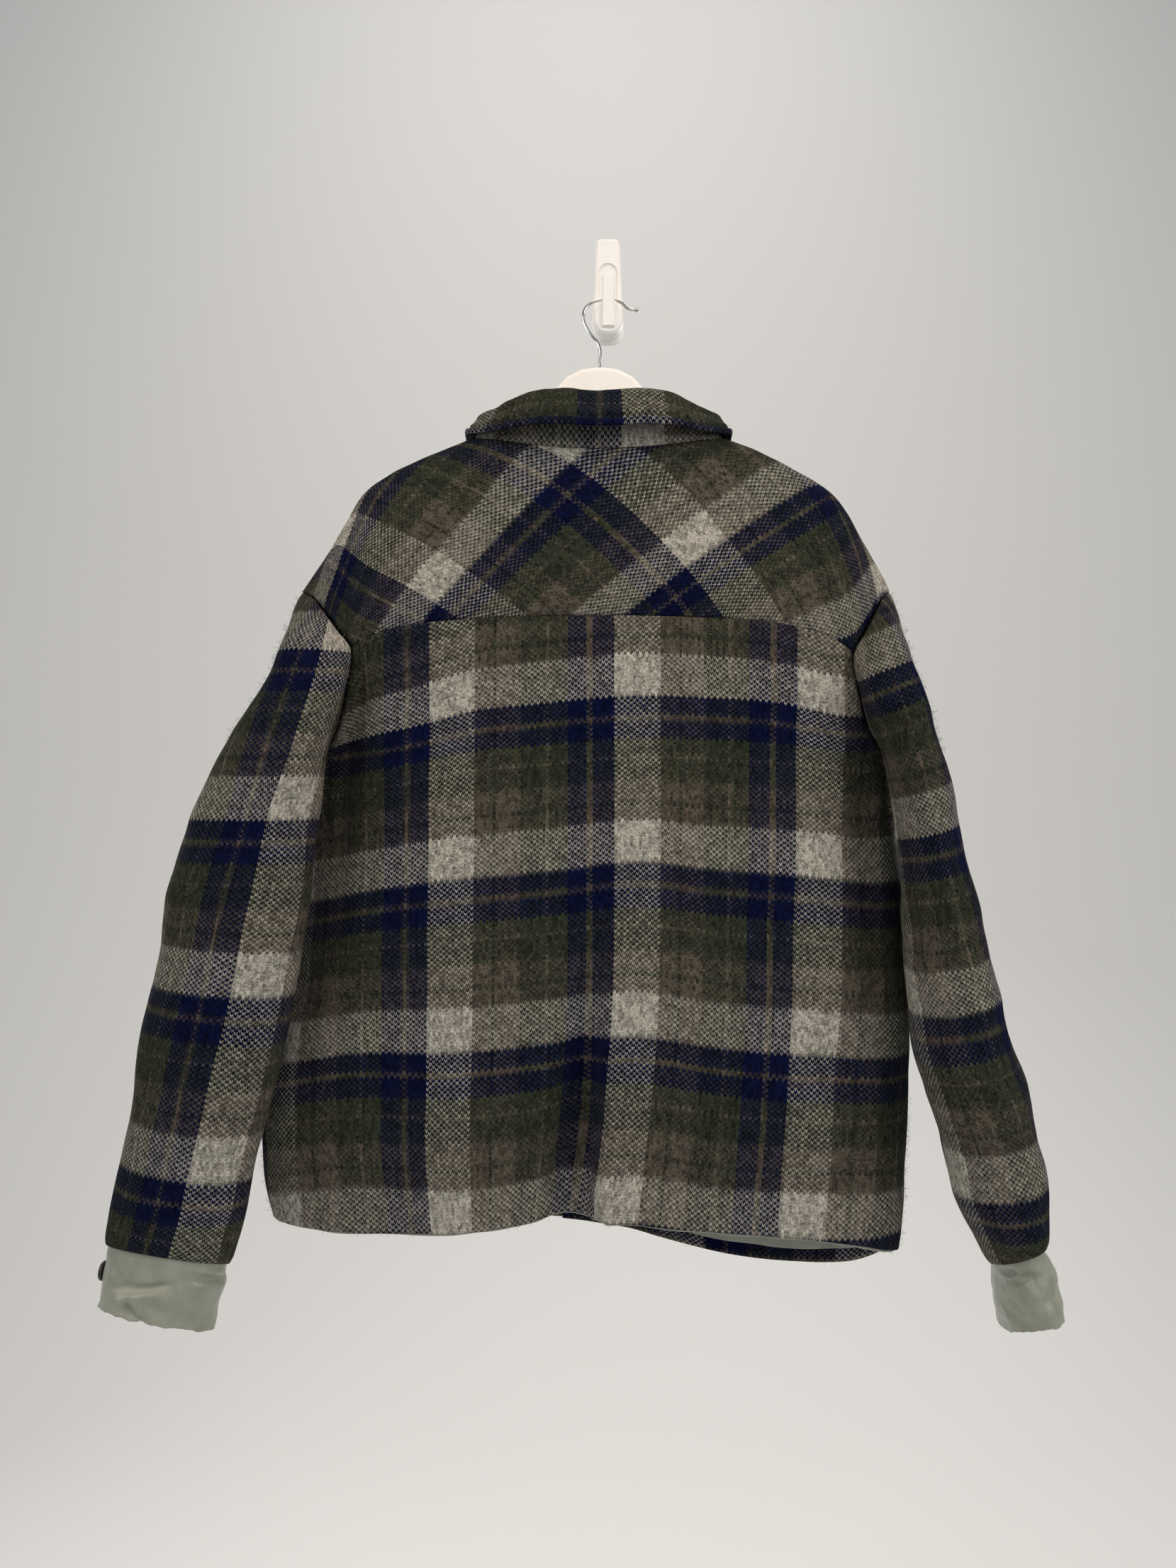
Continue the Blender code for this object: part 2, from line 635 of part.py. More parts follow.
def loop_angles(points, loop, underarm):
    """Angle of each loop point round the sleeve, 0 at the shoulder."""
    ring = [points[i] for i in loop] + [points[loop[0]]]
    steps = [np.linalg.norm(b - a) for a, b in zip(ring[:-1], ring[1:])]
    run = np.concatenate(([0.0], np.cumsum(steps)))
    low = run[underarm]
    back = [UNDERARM_ANGLE * r / low for r in run[:underarm + 1]]
    rest = (2 * math.pi - UNDERARM_ANGLE) / (run[-1] - low)
    return back + [UNDERARM_ANGLE + rest * (r - low) for r in run[underarm + 1:-1]]


def section_ring(row, angles, shrink):
    """Points of a sleeve or cuff section at the given angles, drawn in by a distance."""
    size = dict(zip(SLEEVE_COLUMNS, row))
    outer = np.array((size["outer_x"], size["y"], size["outer_z"]))
    inner = np.array((size["inner_x"], size["y"], size["inner_z"]))
    half = (outer - inner) / 2
    half = half * (1 - shrink / np.linalg.norm(half))
    power = 2.0 / SLEEVE_SQUARENESS
    ring = []
    for a in angles:
        c = math.copysign(abs(math.cos(a)) ** power, math.cos(a))
        s = math.copysign(abs(math.sin(a)) ** power, math.sin(a))
        depth = size["back" if s > 0 else "front"] - shrink
        ring.append((outer + inner) / 2 + half * c + np.array((0.0, -depth * s, 0.0)))
    return ring


def nearness(angle):
    """1 at the underarm, 0 at the shoulder."""
    return min(angle / UNDERARM_ANGLE, (2 * math.pi - angle) / (2 * math.pi - UNDERARM_ANGLE))


def underarm_share(angle):
    """How much of the stand-off from the body a sleeve has at an angle round it."""
    near = nearness(angle)
    if angle < UNDERARM_ANGLE:
        return ease((near - UNDERARM_START) / (1 - UNDERARM_START))
    return 1 - ease((UNDERARM_END[0] - near) / (UNDERARM_END[0] - UNDERARM_END[1]))


def sleeve_rows(shell, loop, angles, table, underarm_out):
    """Index rows of a sleeve from the armhole seam to its hem, each closed on itself."""
    points = shell.points
    first = section_ring(table[0], angles, 0.0)
    middle = np.mean([points[i] for i in loop], axis=0)
    axis = unit(np.mean(first, axis=0) - middle)
    swell = []
    for i, target, angle in zip(loop, first, angles):
        base = points[i] + (target - points[i]) * SWELL_AT
        out = base - middle - axis * ((base - middle) @ axis)
        near = nearness(angle)
        low = ease((near - SWELL_FROM) / (SWELL_TO - SWELL_FROM))
        fullness = ease(near / SWELL_TOP) - (1 + UNDERARM_TUCK) * low
        swell.append(base + unit(out) * SWELL * fullness)
    rings = [swell] + [section_ring(row, angles, 0.0) for row in table]
    for ring, share in zip(rings, UNDERARM_SHARES):
        for k, angle in enumerate(angles):
            aside = share * underarm_out * underarm_share(angle)
            ring[k] = ring[k] + np.array((aside, 0.0, 0.0))
    rows = [loop + loop[:1]]
    for ring in rings:
        line = [shell.add(p) for p in ring]
        rows.append(line + line[:1])
    return rows


def neck_line(back_rows, front_left, flap_left, front_right, flap_right):
    """Indices along the neck seam from the left centre front round the back to the right centre front."""
    neck = len(SHOULDER) - 1
    last = len(half_columns(CENTRE_SHARES)) - 2
    left = [front_left[-1][i] for i in range(last, neck - 1, -1)]
    left += [row[neck] for row in flap_left[1:-1]]
    right = [row[neck] for row in flap_right[1:-1]][::-1]
    right += [front_right[-1][i] for i in range(neck, last + 1)]
    back = back_rows[-1][neck:len(back_rows[-1]) - neck]
    return left + list(back) + right


def collar_stations(points, line):
    """Outward direction and collar sizes at each point of the neck seam."""
    place = [points[i] for i in line]
    steps = [np.linalg.norm(b - a) for a, b in zip(place[:-1], place[1:])]
    run = np.concatenate(([0.0], np.cumsum(steps)))
    centre = run[len(line) // 2]
    stations = []
    for r in run:
        angle, *sizes = [read(COLLAR, COLLAR_COLUMNS, "run", abs(r - centre), n) for n in COLLAR_COLUMNS[1:]]
        turn = math.copysign(math.radians(angle), r - centre)
        stations.append((np.array((math.sin(turn), -math.cos(turn), 0.0)), *sizes))
    return stations


def stand_rows(shell, line, stations):
    """Index rows of the collar stand, neck seam to roll line."""
    rows = [line]
    for row in range(1, STAND_ROWS + 1):
        share = row / STAND_ROWS
        new = []
        for i, (out, stand, lean, reach, drop) in zip(line, stations):
            rise = np.array((0.0, 0.0, stand * share))
            new.append(shell.add(shell.points[i] + rise - out * lean * share))
        rows.append(new)
    return rows


def fall_section(top, out, reach, drop):
    """Closed section of the collar fall, rolled over the top of the stand."""
    low = np.array((ROLL_REACH, ROLL_DROP))
    run = np.array((reach - ROLL_REACH, -drop - ROLL_DROP))
    side = unit(np.array((run[1], -run[0]))) * FALL_THICK
    outside = list(zip(*(column(ROLL_OUTSIDE, ROLL_COLUMNS, name) for name in ROLL_COLUMNS)))
    outside += [tuple(low)] + [tuple(low + run * t) for t in FALL_STEPS]
    inside = [tuple(low + run * t + side) for t in FALL_STEPS[::-1]]
    inside += list(zip(*(column(ROLL_INSIDE, ROLL_COLUMNS, name) for name in ROLL_COLUMNS)))
    up = np.array((0.0, 0.0, 1.0))
    return [top + out * o + up * h for o, h in outside + inside]


def build_jacket():
    """All cloth pieces."""
    shell = Shell()
    back = back_grid(shell)
    front_left, flap_left = front_grid(shell, "left", back)
    front_right, flap_right = front_grid(shell, "right", back)
    seam = BODY_ROWS + len(ARMHOLE) - 1
    shell.grid("back_panel", back[:seam + 1], False)
    shell.grid("back_yoke", back[seam:], False)
    shell.grid("back_yoke", flap_left, True)
    shell.grid("back_yoke", flap_right, False)
    shell.grid("front_left", front_left, True)
    shell.grid("front_right", front_right, False)
    cuffs = {}
    for side, edge, rows, flap, table, underarm_out in (
            ("left", 0, front_left, flap_left, SLEEVE_LEFT, UNDERARM_OUT_LEFT),
            ("right", -1, front_right, flap_right, SLEEVE_RIGHT, UNDERARM_OUT_RIGHT)):
        loop, underarm = armhole_loop(back, rows, flap, edge)
        angles = loop_angles(shell.points, loop, underarm)
        tube = sleeve_rows(shell, loop, angles, table, underarm_out)
        shell.grid("sleeve_" + side, tube, side == "left")
        cuffs[side] = angles
    line = neck_line(back, front_left, flap_left, front_right, flap_right)
    stations = collar_stations(shell.points, line)
    stand = stand_rows(shell, line, stations)
    shell.grid("collar_stand", stand, False)
    normals = shell.normals()
    looks = {"back_yoke": YOKE_LOOK, "collar_stand": COLLAR_LOOK}
    for panel, quads in shell.quads.items():
        verts, faces = wall(shell.points, normals, quads, 0.0, WOOL)
        make_object(panel, verts, faces, looks.get(panel, WOOL_LOOK), True)
    build_fall(shell, stations, stand[-1])
    build_linings(shell, normals, back, front_left, front_right)
    build_cuffs(cuffs)
    build_front_buttons(shell, front_left)


def build_fall(shell, stations, roll):
    """Fall of the collar."""
    rings = []
    for (out, stand, lean, reach, drop), top in zip(stations, roll):
        rings.append(fall_section(shell.points[top], out, reach, drop))
    verts, faces = loft(rings)
    make_object("collar_fall", verts, faces, COLLAR_LOOK, True)


def build_linings(shell, normals, back, front_left, front_right):
    """Lining strips just inside the hem, made from the panels' points."""
    lap = len(CENTRE_SHARES) + 2
    for name, rows, flip, raised in (("lining_back", back, False, LINING_RAISE_BACK),
                                     ("lining_front_left", front_left, True, LINING_RAISE_FRONT),
                                     ("lining_front_right", front_right, False, LINING_RAISE_FRONT)):
        strip = Shell()
        strip_normals = []
        picks = []
        width = len(rows[0]) if name == "lining_back" else len(rows[0]) - lap
        for r in range(LINING_ROWS + 1):
            line = []
            for c in range(width):
                p = shell.points[rows[r][c]]
                if r == 0:
                    above = shell.points[rows[1][c]]
                    p = p + unit(above - p) * raised
                line.append(strip.add(p))
                strip_normals.append(normals[rows[r][c]])
            picks.append(line)
        strip.grid(name, picks, flip)
        verts, faces = wall(strip.points, np.array(strip_normals), strip.quads[name], WOOL + LINING_GAP, SATIN)
        make_object(name, verts, faces, SATIN_LOOK, True)


def build_cuffs(cuff_angles):
    """Satin cuffs that come out of the sleeve hems, each with its button."""
    for side, sleeve, table in (("left", SLEEVE_LEFT, CUFF_LEFT), ("right", SLEEVE_RIGHT, CUFF_RIGHT)):
        angles = cuff_angles[side]
        shell = Shell()
        tucked = np.array(sleeve[-1]) + (np.array(sleeve[-2]) - np.array(sleeve[-1])) * CUFF_TUCK
        rings = [section_ring(tuple(tucked), angles, WOOL + 2 * LAYER_GAP)]
        rings += [section_ring(sleeve[-1], angles, WOOL + 2 * LAYER_GAP)]
        rings += [section_ring(row, angles, 0.0) for row in table]
        rows = []
        for ring in rings:
            line = [shell.add(p) for p in ring]
            rows.append(line + line[:1])
        shell.grid("cuff_" + side, rows, side == "left")
        verts, faces = wall(shell.points, shell.normals(), shell.quads["cuff_" + side], 0.0, SATIN)
        make_object("cuff_" + side, verts, faces, SATIN_LOOK, True)
        turn = 0.0 if side == "left" else 1.5 * math.pi
        upper = section_ring(table[0], [turn], 0.0)[0]
        lower = section_ring(table[1], [turn], 0.0)[0]
        down = unit(lower - upper)
        level = np.array((-1.0, 0.0, 0.0)) if side == "left" else np.array((0.0, 1.0, 0.0))
        axis = unit(level - down * (level @ down))
        button("cuff_button_" + side, (upper + lower) / 2 + axis * LAYER_GAP, axis)


def build_front_buttons(shell, front_left):
    """Plain buttons down the left front, on the side towards the wall."""
    columns = half_columns(CENTRE_SHARES)
    a, b = columns.index(CENTRE_SHARES[0]), columns.index(CENTRE_SHARES[1])
    spine = []
    for row in front_left:
        inner, outer = shell.points[row[a]], shell.points[row[b]]
        spine.append(inner + (outer - inner) * FRONT_BUTTON_SHARE)
    heights = [p[2] for p in spine]
    for k in range(FRONT_BUTTONS):
        z = FRONT_BUTTON_TOP - FRONT_BUTTON_STEP * k
        x = float(np.interp(z, heights, [p[0] for p in spine]))
        y = float(np.interp(z, heights, [p[1] for p in spine]))
        place = np.array((x, y + FRONT_BUTTON_GAP, z))
        button("front_button_%d" % (k + 1), place, np.array((0.0, 1.0, 0.0)))


def button(name, place, axis):
    """Round button standing on a point along an axis."""
    side = unit(np.cross(axis, np.array((0.0, 0.0, 1.0))))
    up = np.cross(side, axis)
    rings = []
    for height, radius in ((0.0, BUTTON_RADIUS - BUTTON_ROUNDING), (BUTTON_ROUNDING, BUTTON_RADIUS),
                           (BUTTON_THICK - BUTTON_ROUNDING, BUTTON_RADIUS),
                           (BUTTON_THICK, BUTTON_RADIUS - BUTTON_ROUNDING)):
        turns = [2 * math.pi * k / BUTTON_SIDES for k in range(BUTTON_SIDES)]
        ring = [place + axis * height + (up * math.cos(t) + side * math.sin(t)) * radius for t in turns]
        rings.append(ring)
    verts, faces = loft(rings)
    make_object(name, verts, faces, BUTTON_LOOK, False)


# Hanger and its wire hook

def hang_y(z):
    """Depth of the hanger's plane at a height: it leans away from the wall."""
    return SEAT_Y + HANG_SLOPE * (z - WIRE_TOP_Z)


def inset_outline(outline, distance):
    """Outline of (x, z) points, counter-clockwise, drawn in by a distance."""
    count = len(outline)
    result = []
    for k in range(count):
        a, b, c = (np.array(outline[(k + s) % count]) for s in (-1, 0, 1))
        e1, e2 = unit(b - a), unit(c - b)
        n1, n2 = np.array((-e1[1], e1[0])), np.array((-e2[1], e2[0]))
        result.append(b + (n1 + n2) / max(0.4, 1 + n1 @ n2) * distance)
    return result


def hanger_outline():
    """Outline of the hanger seen from behind, counter-clockwise."""
    drop = WOOL + HANGER_SEAT_GAP
    arms = {}
    for side, sign in (("left", -1), ("right", 1)):
        ridge = [ridge_point(side, i) for i in range(len(SHOULDER) - 2, 2, -1)]
        arms[side] = [(p[0], p[2] - drop) for p in ridge[:-1]]
        tip = ridge[-1]
        arms[side] += [(tip[0] - sign * inset, tip[2] - drop + rise) for inset, rise in (TIP_UPPER, TIP_LOWER)]
    right = [(HANGER_X + x, z) for x, z in DOME] + arms["right"]
    right += [(HANGER_X + x, z) for x, z in UNDERSIDE[:-1]]
    left = [(HANGER_X - x, z) for x, z in DOME[1:]] + arms["left"]
    left += [(HANGER_X - x, z) for x, z in UNDERSIDE[:-1]]
    bottom = [(HANGER_X, UNDERSIDE[-1][1])]
    return right[:1] + left + bottom + right[1:][::-1]


def build_hanger():
    """White hanger: a flat bar with rounded edges, leaning with the wire."""
    outline = hanger_outline()
    half = HANGER_THICK / 2
    rim = HANGER_ROUNDING * HANGER_RIM
    rings = []
    for y, inset in ((half, HANGER_ROUNDING), (half - rim, rim), (half - HANGER_ROUNDING, 0.0),
                     (HANGER_ROUNDING - half, 0.0), (rim - half, rim), (-half, HANGER_ROUNDING)):
        edge = inset_outline(outline, inset)
        rings.append([np.array((x, hang_y(z) + y, z)) for x, z in edge])
    verts, faces = loft(rings)
    make_object("hanger", verts, faces, HANGER_LOOK, True)


def build_wire():
    """Chrome wire hook with a ball end."""
    places = zip(*(column(HOOK, OUTLINE_COLUMNS, name) for name in OUTLINE_COLUMNS))
    path = [np.array((x, hang_y(z), z)) for x, z in places]
    ends = [unit(b - a) for a, b in zip(path[:-1], path[1:])]
    turns = [ends[0]] + [unit(a + b) for a, b in zip(ends[:-1], ends[1:])] + [ends[-1]]
    across = unit(np.array((0.0, 1.0, -HANG_SLOPE)))
    stations = [(p, t, WIRE_RADIUS) for p, t in zip(path, turns)]
    ball = path[-1] + ends[-1] * BALL_RADIUS * BALL_NECK
    first = math.acos(-BALL_NECK)
    for k in range(1, BALL_RINGS):
        a = first + (BALL_TIP_ANGLE - first) * k / BALL_RINGS
        stations.append((ball + ends[-1] * BALL_RADIUS * math.cos(a), ends[-1], BALL_RADIUS * math.sin(a)))
    rings = []
    for p, t, radius in stations:
        side = unit(across - t * (across @ t))
        other = np.cross(t, side)
        angles = [2 * math.pi * k / WIRE_SIDES for k in range(WIRE_SIDES)]
        rings.append([p + (side * math.cos(a) + other * math.sin(a)) * radius for a in angles])
    verts, faces = loft(rings)
    make_object("hanger_hook", verts, faces, CHROME_LOOK, True)


# Wall hook

def plate_outline():
    """Tapered plate with rounded top corners and a round lower end, counter-clockwise seen from the room."""
    right = []
    for k in range(PLATE_CORNER_STEPS + 1):
        a = math.pi / 2 * (1 - k / PLATE_CORNER_STEPS)
        x = PLATE_TOP_HALF - PLATE_CORNER + PLATE_CORNER * math.cos(a)
        right.append((x, PLATE_TOP - PLATE_CORNER + PLATE_CORNER * math.sin(a)))
    for k in range(PLATE_END_STEPS):
        a = math.pi / 2 * k / PLATE_END_STEPS
        z = PLATE_LOW_Z + (PLATE_BOTTOM - PLATE_LOW_Z) * math.sin(a)
        right.append((PLATE_LOW_HALF * math.cos(a) ** PLATE_END_POWER, z))
    right.append((0.0, PLATE_BOTTOM))
    left = [(-x, z) for x, z in right[:-1]]
    return left + right[::-1]


def prism(outline, steps):
    """Solid through copies of an outline: each step is a depth and an inset."""
    rings = []
    for y, inset in steps:
        rings.append([np.array((x, y, z)) for x, z in inset_outline(outline, inset)])
    return loft(rings)


def join(target, tool, operation):
    """Combine a helper solid with an object and hide the helper."""
    change = target.modifiers.new(tool.name, "BOOLEAN")
    change.operation = operation
    change.solver = "EXACT"
    change.object = tool
    tool.hide_render = True
    tool.display_type = "WIRE"


def build_wall_hook():
    """White hook stuck to the wall: plate, seat and prong in one piece."""
    outline = plate_outline()
    steps = ((0.0, 0.0), (PLATE_ROUNDING - PLATE_THICK, 0.0), (-PLATE_THICK, PLATE_ROUNDING))
    plate = make_object("wall_hook", *prism(outline, steps), HOOK_LOOK, False)
    low = [(x, z) for x, z in outline if z <= PLATE_LOW_Z]
    share = 1 - BOSS_INSET / PLATE_LOW_HALF
    edge = PLATE_LOW_HALF * share
    boss_line = [(-edge, BOSS_SHOULDER)] + [(x * share, z + BOSS_INSET) for x, z in low]
    boss_line += [(edge, BOSS_SHOULDER), (SEAT_HALF, SEAT_Z - SEAT_CROWN), (SEAT_FLAT_HALF, SEAT_Z)]
    boss_line += [(-SEAT_FLAT_HALF, SEAT_Z), (-SEAT_HALF, SEAT_Z - SEAT_CROWN)]
    steps = ((BOSS_BACK, 0.0), (BOSS_FRONT + PLATE_ROUNDING, 0.0), (BOSS_FRONT, PLATE_ROUNDING))
    join(plate, make_object("boss_tool", *prism(boss_line, steps), HOOK_LOOK, False), "UNION")
    corner = PRONG_TOP - PRONG_CORNER_DROP
    prong_line = [(-PRONG_HALF, corner), (-PRONG_HALF, PRONG_BOTTOM), (PRONG_HALF, PRONG_BOTTOM),
                  (PRONG_HALF, corner), (PRONG_TOP_HALF, PRONG_TOP), (-PRONG_TOP_HALF, PRONG_TOP)]
    front = PRONG_BACK - PRONG_THICK
    steps = ((PRONG_BACK, 0.0), (front + PLATE_ROUNDING, 0.0), (front, PRONG_ROUNDING))
    join(plate, make_object("prong_tool", *prism(prong_line, steps), HOOK_LOOK, False), "UNION")
    arch = [(-RECESS_HALF, RECESS_BOTTOM), (RECESS_HALF, RECESS_BOTTOM)]
    for k in range(RECESS_STEPS + 1):
        a = math.pi * k / RECESS_STEPS
        arch.append((RECESS_HALF * math.cos(a), RECESS_TOP - RECESS_HALF + RECESS_HALF * math.sin(a)))
    steps = ((RECESS_DEPTH - PLATE_THICK, 0.0), (-PLATE_THICK - RECESS_DEPTH, 0.0))
    join(plate, make_object("recess_tool", *prism(arch, steps), HOOK_LOOK, False), "DIFFERENCE")


for old in list(bpy.data.objects):
    bpy.data.objects.remove(old)
build_jacket()
build_hanger()
build_wire()
build_wall_hook()
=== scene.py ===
import math

import bpy
import numpy as np
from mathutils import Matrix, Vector, kdtree, noise


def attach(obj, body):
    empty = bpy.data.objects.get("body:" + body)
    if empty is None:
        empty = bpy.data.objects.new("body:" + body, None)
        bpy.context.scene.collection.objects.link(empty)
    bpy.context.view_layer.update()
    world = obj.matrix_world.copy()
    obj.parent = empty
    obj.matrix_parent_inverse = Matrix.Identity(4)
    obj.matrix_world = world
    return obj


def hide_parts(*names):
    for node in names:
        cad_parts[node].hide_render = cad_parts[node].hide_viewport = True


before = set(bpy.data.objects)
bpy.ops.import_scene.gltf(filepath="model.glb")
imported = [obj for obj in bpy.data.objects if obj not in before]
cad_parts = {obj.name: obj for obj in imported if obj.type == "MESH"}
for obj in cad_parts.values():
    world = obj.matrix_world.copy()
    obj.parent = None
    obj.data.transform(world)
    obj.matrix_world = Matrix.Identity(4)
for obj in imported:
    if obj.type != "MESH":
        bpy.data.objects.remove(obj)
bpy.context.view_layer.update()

# Wall hook
# One white plastic moulding: a plate stuck flat to the wall with a seat and a prong standing in front of it.
# The solid has the true shape, so it stays and gets a moulded skin with a faint orange-peel grain.
HOOK_WHITE = (0.88, 0.845, 0.815)
HOOK_ROUGHNESS = 0.34
HOOK_GRAIN = 900.0
DULL_SHARE = 0.93
CLOUD_SCALE = 28.0
CLOUD_REACH = (0.3, 0.7)
GLOSS_SPREAD = (-0.06, 0.08)
GRAIN_STRENGTH = 0.35
GRAIN_DEPTH = 0.0001


def add(tree, kind, inputs=None, **settings):
    """New node of a tree, with its settings; each named input gets a value, or a link from a socket."""
    node = tree.nodes.new(kind)
    for name, value in settings.items():
        setattr(node, name, value)
    for name, value in (inputs or {}).items():
        if isinstance(value, bpy.types.NodeSocket):
            tree.links.new(value, node.inputs[name])
        else:
            node.inputs[name].default_value = value
    return node


def new_material(name, values=None):
    """New material with its node tree and its shader, whose named inputs get the values."""
    material = bpy.data.materials.new(name)
    material.use_nodes = True
    shader = material.node_tree.nodes["Principled BSDF"]
    for spot, value in (values or {}).items():
        shader.inputs[spot].default_value = value
    return material, material.node_tree, shader


def object_place(tree):
    """Places on the piece itself, in metres."""
    return add(tree, "ShaderNodeTexCoord").outputs["Object"]


def speckle(tree, place, scale, detail=2.0, distortion=0.0):
    """Soft noise over places, finer for a larger scale."""
    return add(tree, "ShaderNodeTexNoise", {
        "Vector": place, "Scale": scale, "Detail": detail, "Distortion": distortion})


def uneven_finish(tree, shader, share, tones, gloss, reach=(0.0, 1.0)):
    """Colour and roughness that wander between two values each, with a share between 0 and 1."""
    ramp = add(tree, "ShaderNodeValToRGB", {"Fac": share})
    for spot, place, tone in zip(ramp.color_ramp.elements, reach, tones):
        spot.position = place
        spot.color = (*tone, 1.0)
    rough = add(tree, "ShaderNodeMapRange", {"Value": share, "To Min": gloss[0], "To Max": gloss[1]})
    tree.links.new(ramp.outputs["Color"], shader.inputs["Base Color"])
    tree.links.new(rough.outputs["Result"], shader.inputs["Roughness"])


def raise_skin(tree, shader, height, strength, depth):
    """Fine relief in the skin of a finish."""
    bump = add(tree, "ShaderNodeBump", {"Height": height, "Strength": strength, "Distance": depth})
    tree.links.new(bump.outputs["Normal"], shader.inputs["Normal"])


def moulded_plastic(name, colour, roughness, grain):
    """White plastic: a little uneven in tone and gloss, with a fine moulded grain."""
    material, tree, shader = new_material(name)
    place = object_place(tree)
    clouds = speckle(tree, place, CLOUD_SCALE, 4.0).outputs["Fac"]
    dull = tuple(c * DULL_SHARE for c in colour)
    gloss = [roughness + spread for spread in GLOSS_SPREAD]
    uneven_finish(tree, shader, clouds, (dull, colour), gloss, CLOUD_REACH)
    raise_skin(tree, shader, speckle(tree, place, grain).outputs["Fac"], GRAIN_STRENGTH, GRAIN_DEPTH)
    return material


def new_skin(node, material):
    """A solid that stays as it is gets a material."""
    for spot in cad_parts[node].material_slots:
        spot.material = material


new_skin("wall_hook", moulded_plastic("wall_hook_plastic", HOOK_WHITE, HOOK_ROUGHNESS, HOOK_GRAIN))

# Wire hook
# A bent chrome-plated steel wire with a small ball on its free end, screwed into the hanger's dome.
# The wire is swept along its bent line, and the ball is formed on the end of it.
WIRE_POINTS = 120
BALL_BEYOND = 0.0021
CHROME_TONES = ((0.42, 0.43, 0.44), (0.66, 0.66, 0.66))
CHROME_GLOSS = (0.10, 0.22)
CHROME_MARKS = 700.0
WIRE_RADIUS = 0.00155
BALL_RADIUS = 0.0027
SEAT_Y = -0.0245
HANG_SLOPE = 0.157
WIRE_TOP_Z = -0.0165
WIRE_BENDS = (
    (-0.0085, -0.0868), (-0.0085, -0.0670), (-0.0106, -0.0615), (-0.0160, -0.0549),
    (-0.0203, -0.0479), (-0.0240, -0.0385), (-0.0240, -0.0305), (-0.0213, -0.0247),
    (-0.0160, -0.0200), (-0.0083, -0.0172), (0.0000, -0.0165), (0.0071, -0.0172),
    (0.0127, -0.0200), (0.0176, -0.0249), (0.0217, -0.0270), (0.0252, -0.0272),
)


def hang_y(z):
    """Depth of the hanger's plane at a height: it leans away from the wall."""
    return SEAT_Y + HANG_SLOPE * (z - WIRE_TOP_Z)


def runs(points):
    """Mean run along the first axis of a grid of points."""
    steps = np.linalg.norm(np.diff(points, axis=0), axis=2).mean(axis=1)
    return np.concatenate(([0.0], np.cumsum(steps)))


def along(points, run, at):
    """Smooth curves through the rows of a grid of points, read at the given runs."""
    slope = np.gradient(points, run, axis=0)
    i = np.clip(np.searchsorted(run, at, side="right") - 1, 0, len(run) - 2)
    step = (run[i + 1] - run[i])[:, None, None]
    t = (at - run[i])[:, None, None] / step
    first = (1 + 2 * t) * (1 - t) ** 2 * points[i] + t * (1 - t) ** 2 * step * slope[i]
    return first + t * t * (3 - 2 * t) * points[i + 1] + t * t * (t - 1) * step * slope[i + 1]


def put(name, data):
    """Object of a mesh, a light or a camera, put in the scene."""
    thing = bpy.data.objects.new(name, data)
    bpy.context.scene.collection.objects.link(thing)
    return thing


def line_mesh(name, points):
    """Mesh of a line through points, without faces."""
    mesh = bpy.data.meshes.new(name)
    mesh.from_pydata(points.tolist(), [(k, k + 1) for k in range(len(points) - 1)], [])
    return mesh


def new_tree(name, sizes):
    """Empty geometry tree with named inputs; returns the tree, its input sockets and its last node."""
    tree = bpy.data.node_groups.new(name, "GeometryNodeTree")
    for label, kind in {"Geometry": "Geometry", **sizes}.items():
        tree.interface.new_socket(label, in_out="INPUT", socket_type="NodeSocket" + kind)
    tree.interface.new_socket("Geometry", in_out="OUTPUT", socket_type="NodeSocketGeometry")
    return tree, tree.nodes.new("NodeGroupInput").outputs, tree.nodes.new("NodeGroupOutput")


def end_tree(tree, given, result, geometry):
    """Last step of a tree: its geometry gets its finish."""
    finish = add(tree, "GeometryNodeSetMaterial", {"Geometry": geometry, "Material": given["Finish"]})
    tree.links.new(finish.outputs["Geometry"], result.inputs["Geometry"])
    return tree


def smooth_and_real(tree, geometry):
    """Instances made real and shaded smooth."""
    real = add(tree, "GeometryNodeRealizeInstances", {"Geometry": geometry})
    return add(tree, "GeometryNodeSetShadeSmooth", {"Geometry": real.outputs["Geometry"]}).outputs["Geometry"]


def grow(name, base, tree, values):
    """Plain mesh object grown from a base mesh by a geometry tree with the given named values."""
    holder = put(name + "_base", base)
    change = holder.modifiers.new("grow", "NODES")
    change.node_group = tree
    for item in tree.interface.items_tree:
        if item.item_type == "SOCKET" and item.in_out == "INPUT" and item.name in values:
            change[item.identifier] = values[item.name]
    bpy.context.view_layer.update()
    held = holder.evaluated_get(bpy.context.evaluated_depsgraph_get())
    mesh = bpy.data.meshes.new_from_object(held)
    mesh.name = name
    holder.modifiers.remove(change)
    bpy.data.objects.remove(holder)
    return put(name, mesh)


def stand_for(piece, node):
    """The frame calls of a piece that rides the one body and stands for a solid."""
    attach(piece, "root")
    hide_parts(node)


def chrome_plate():
    """Polished chrome with faint drawing marks along the wire."""
    material, tree, shader = new_material("chrome_wire", {"Metallic": 1.0})
    marks = speckle(tree, object_place(tree), CHROME_MARKS).outputs["Fac"]
    uneven_finish(tree, shader, marks, CHROME_TONES, CHROME_GLOSS)
    return material


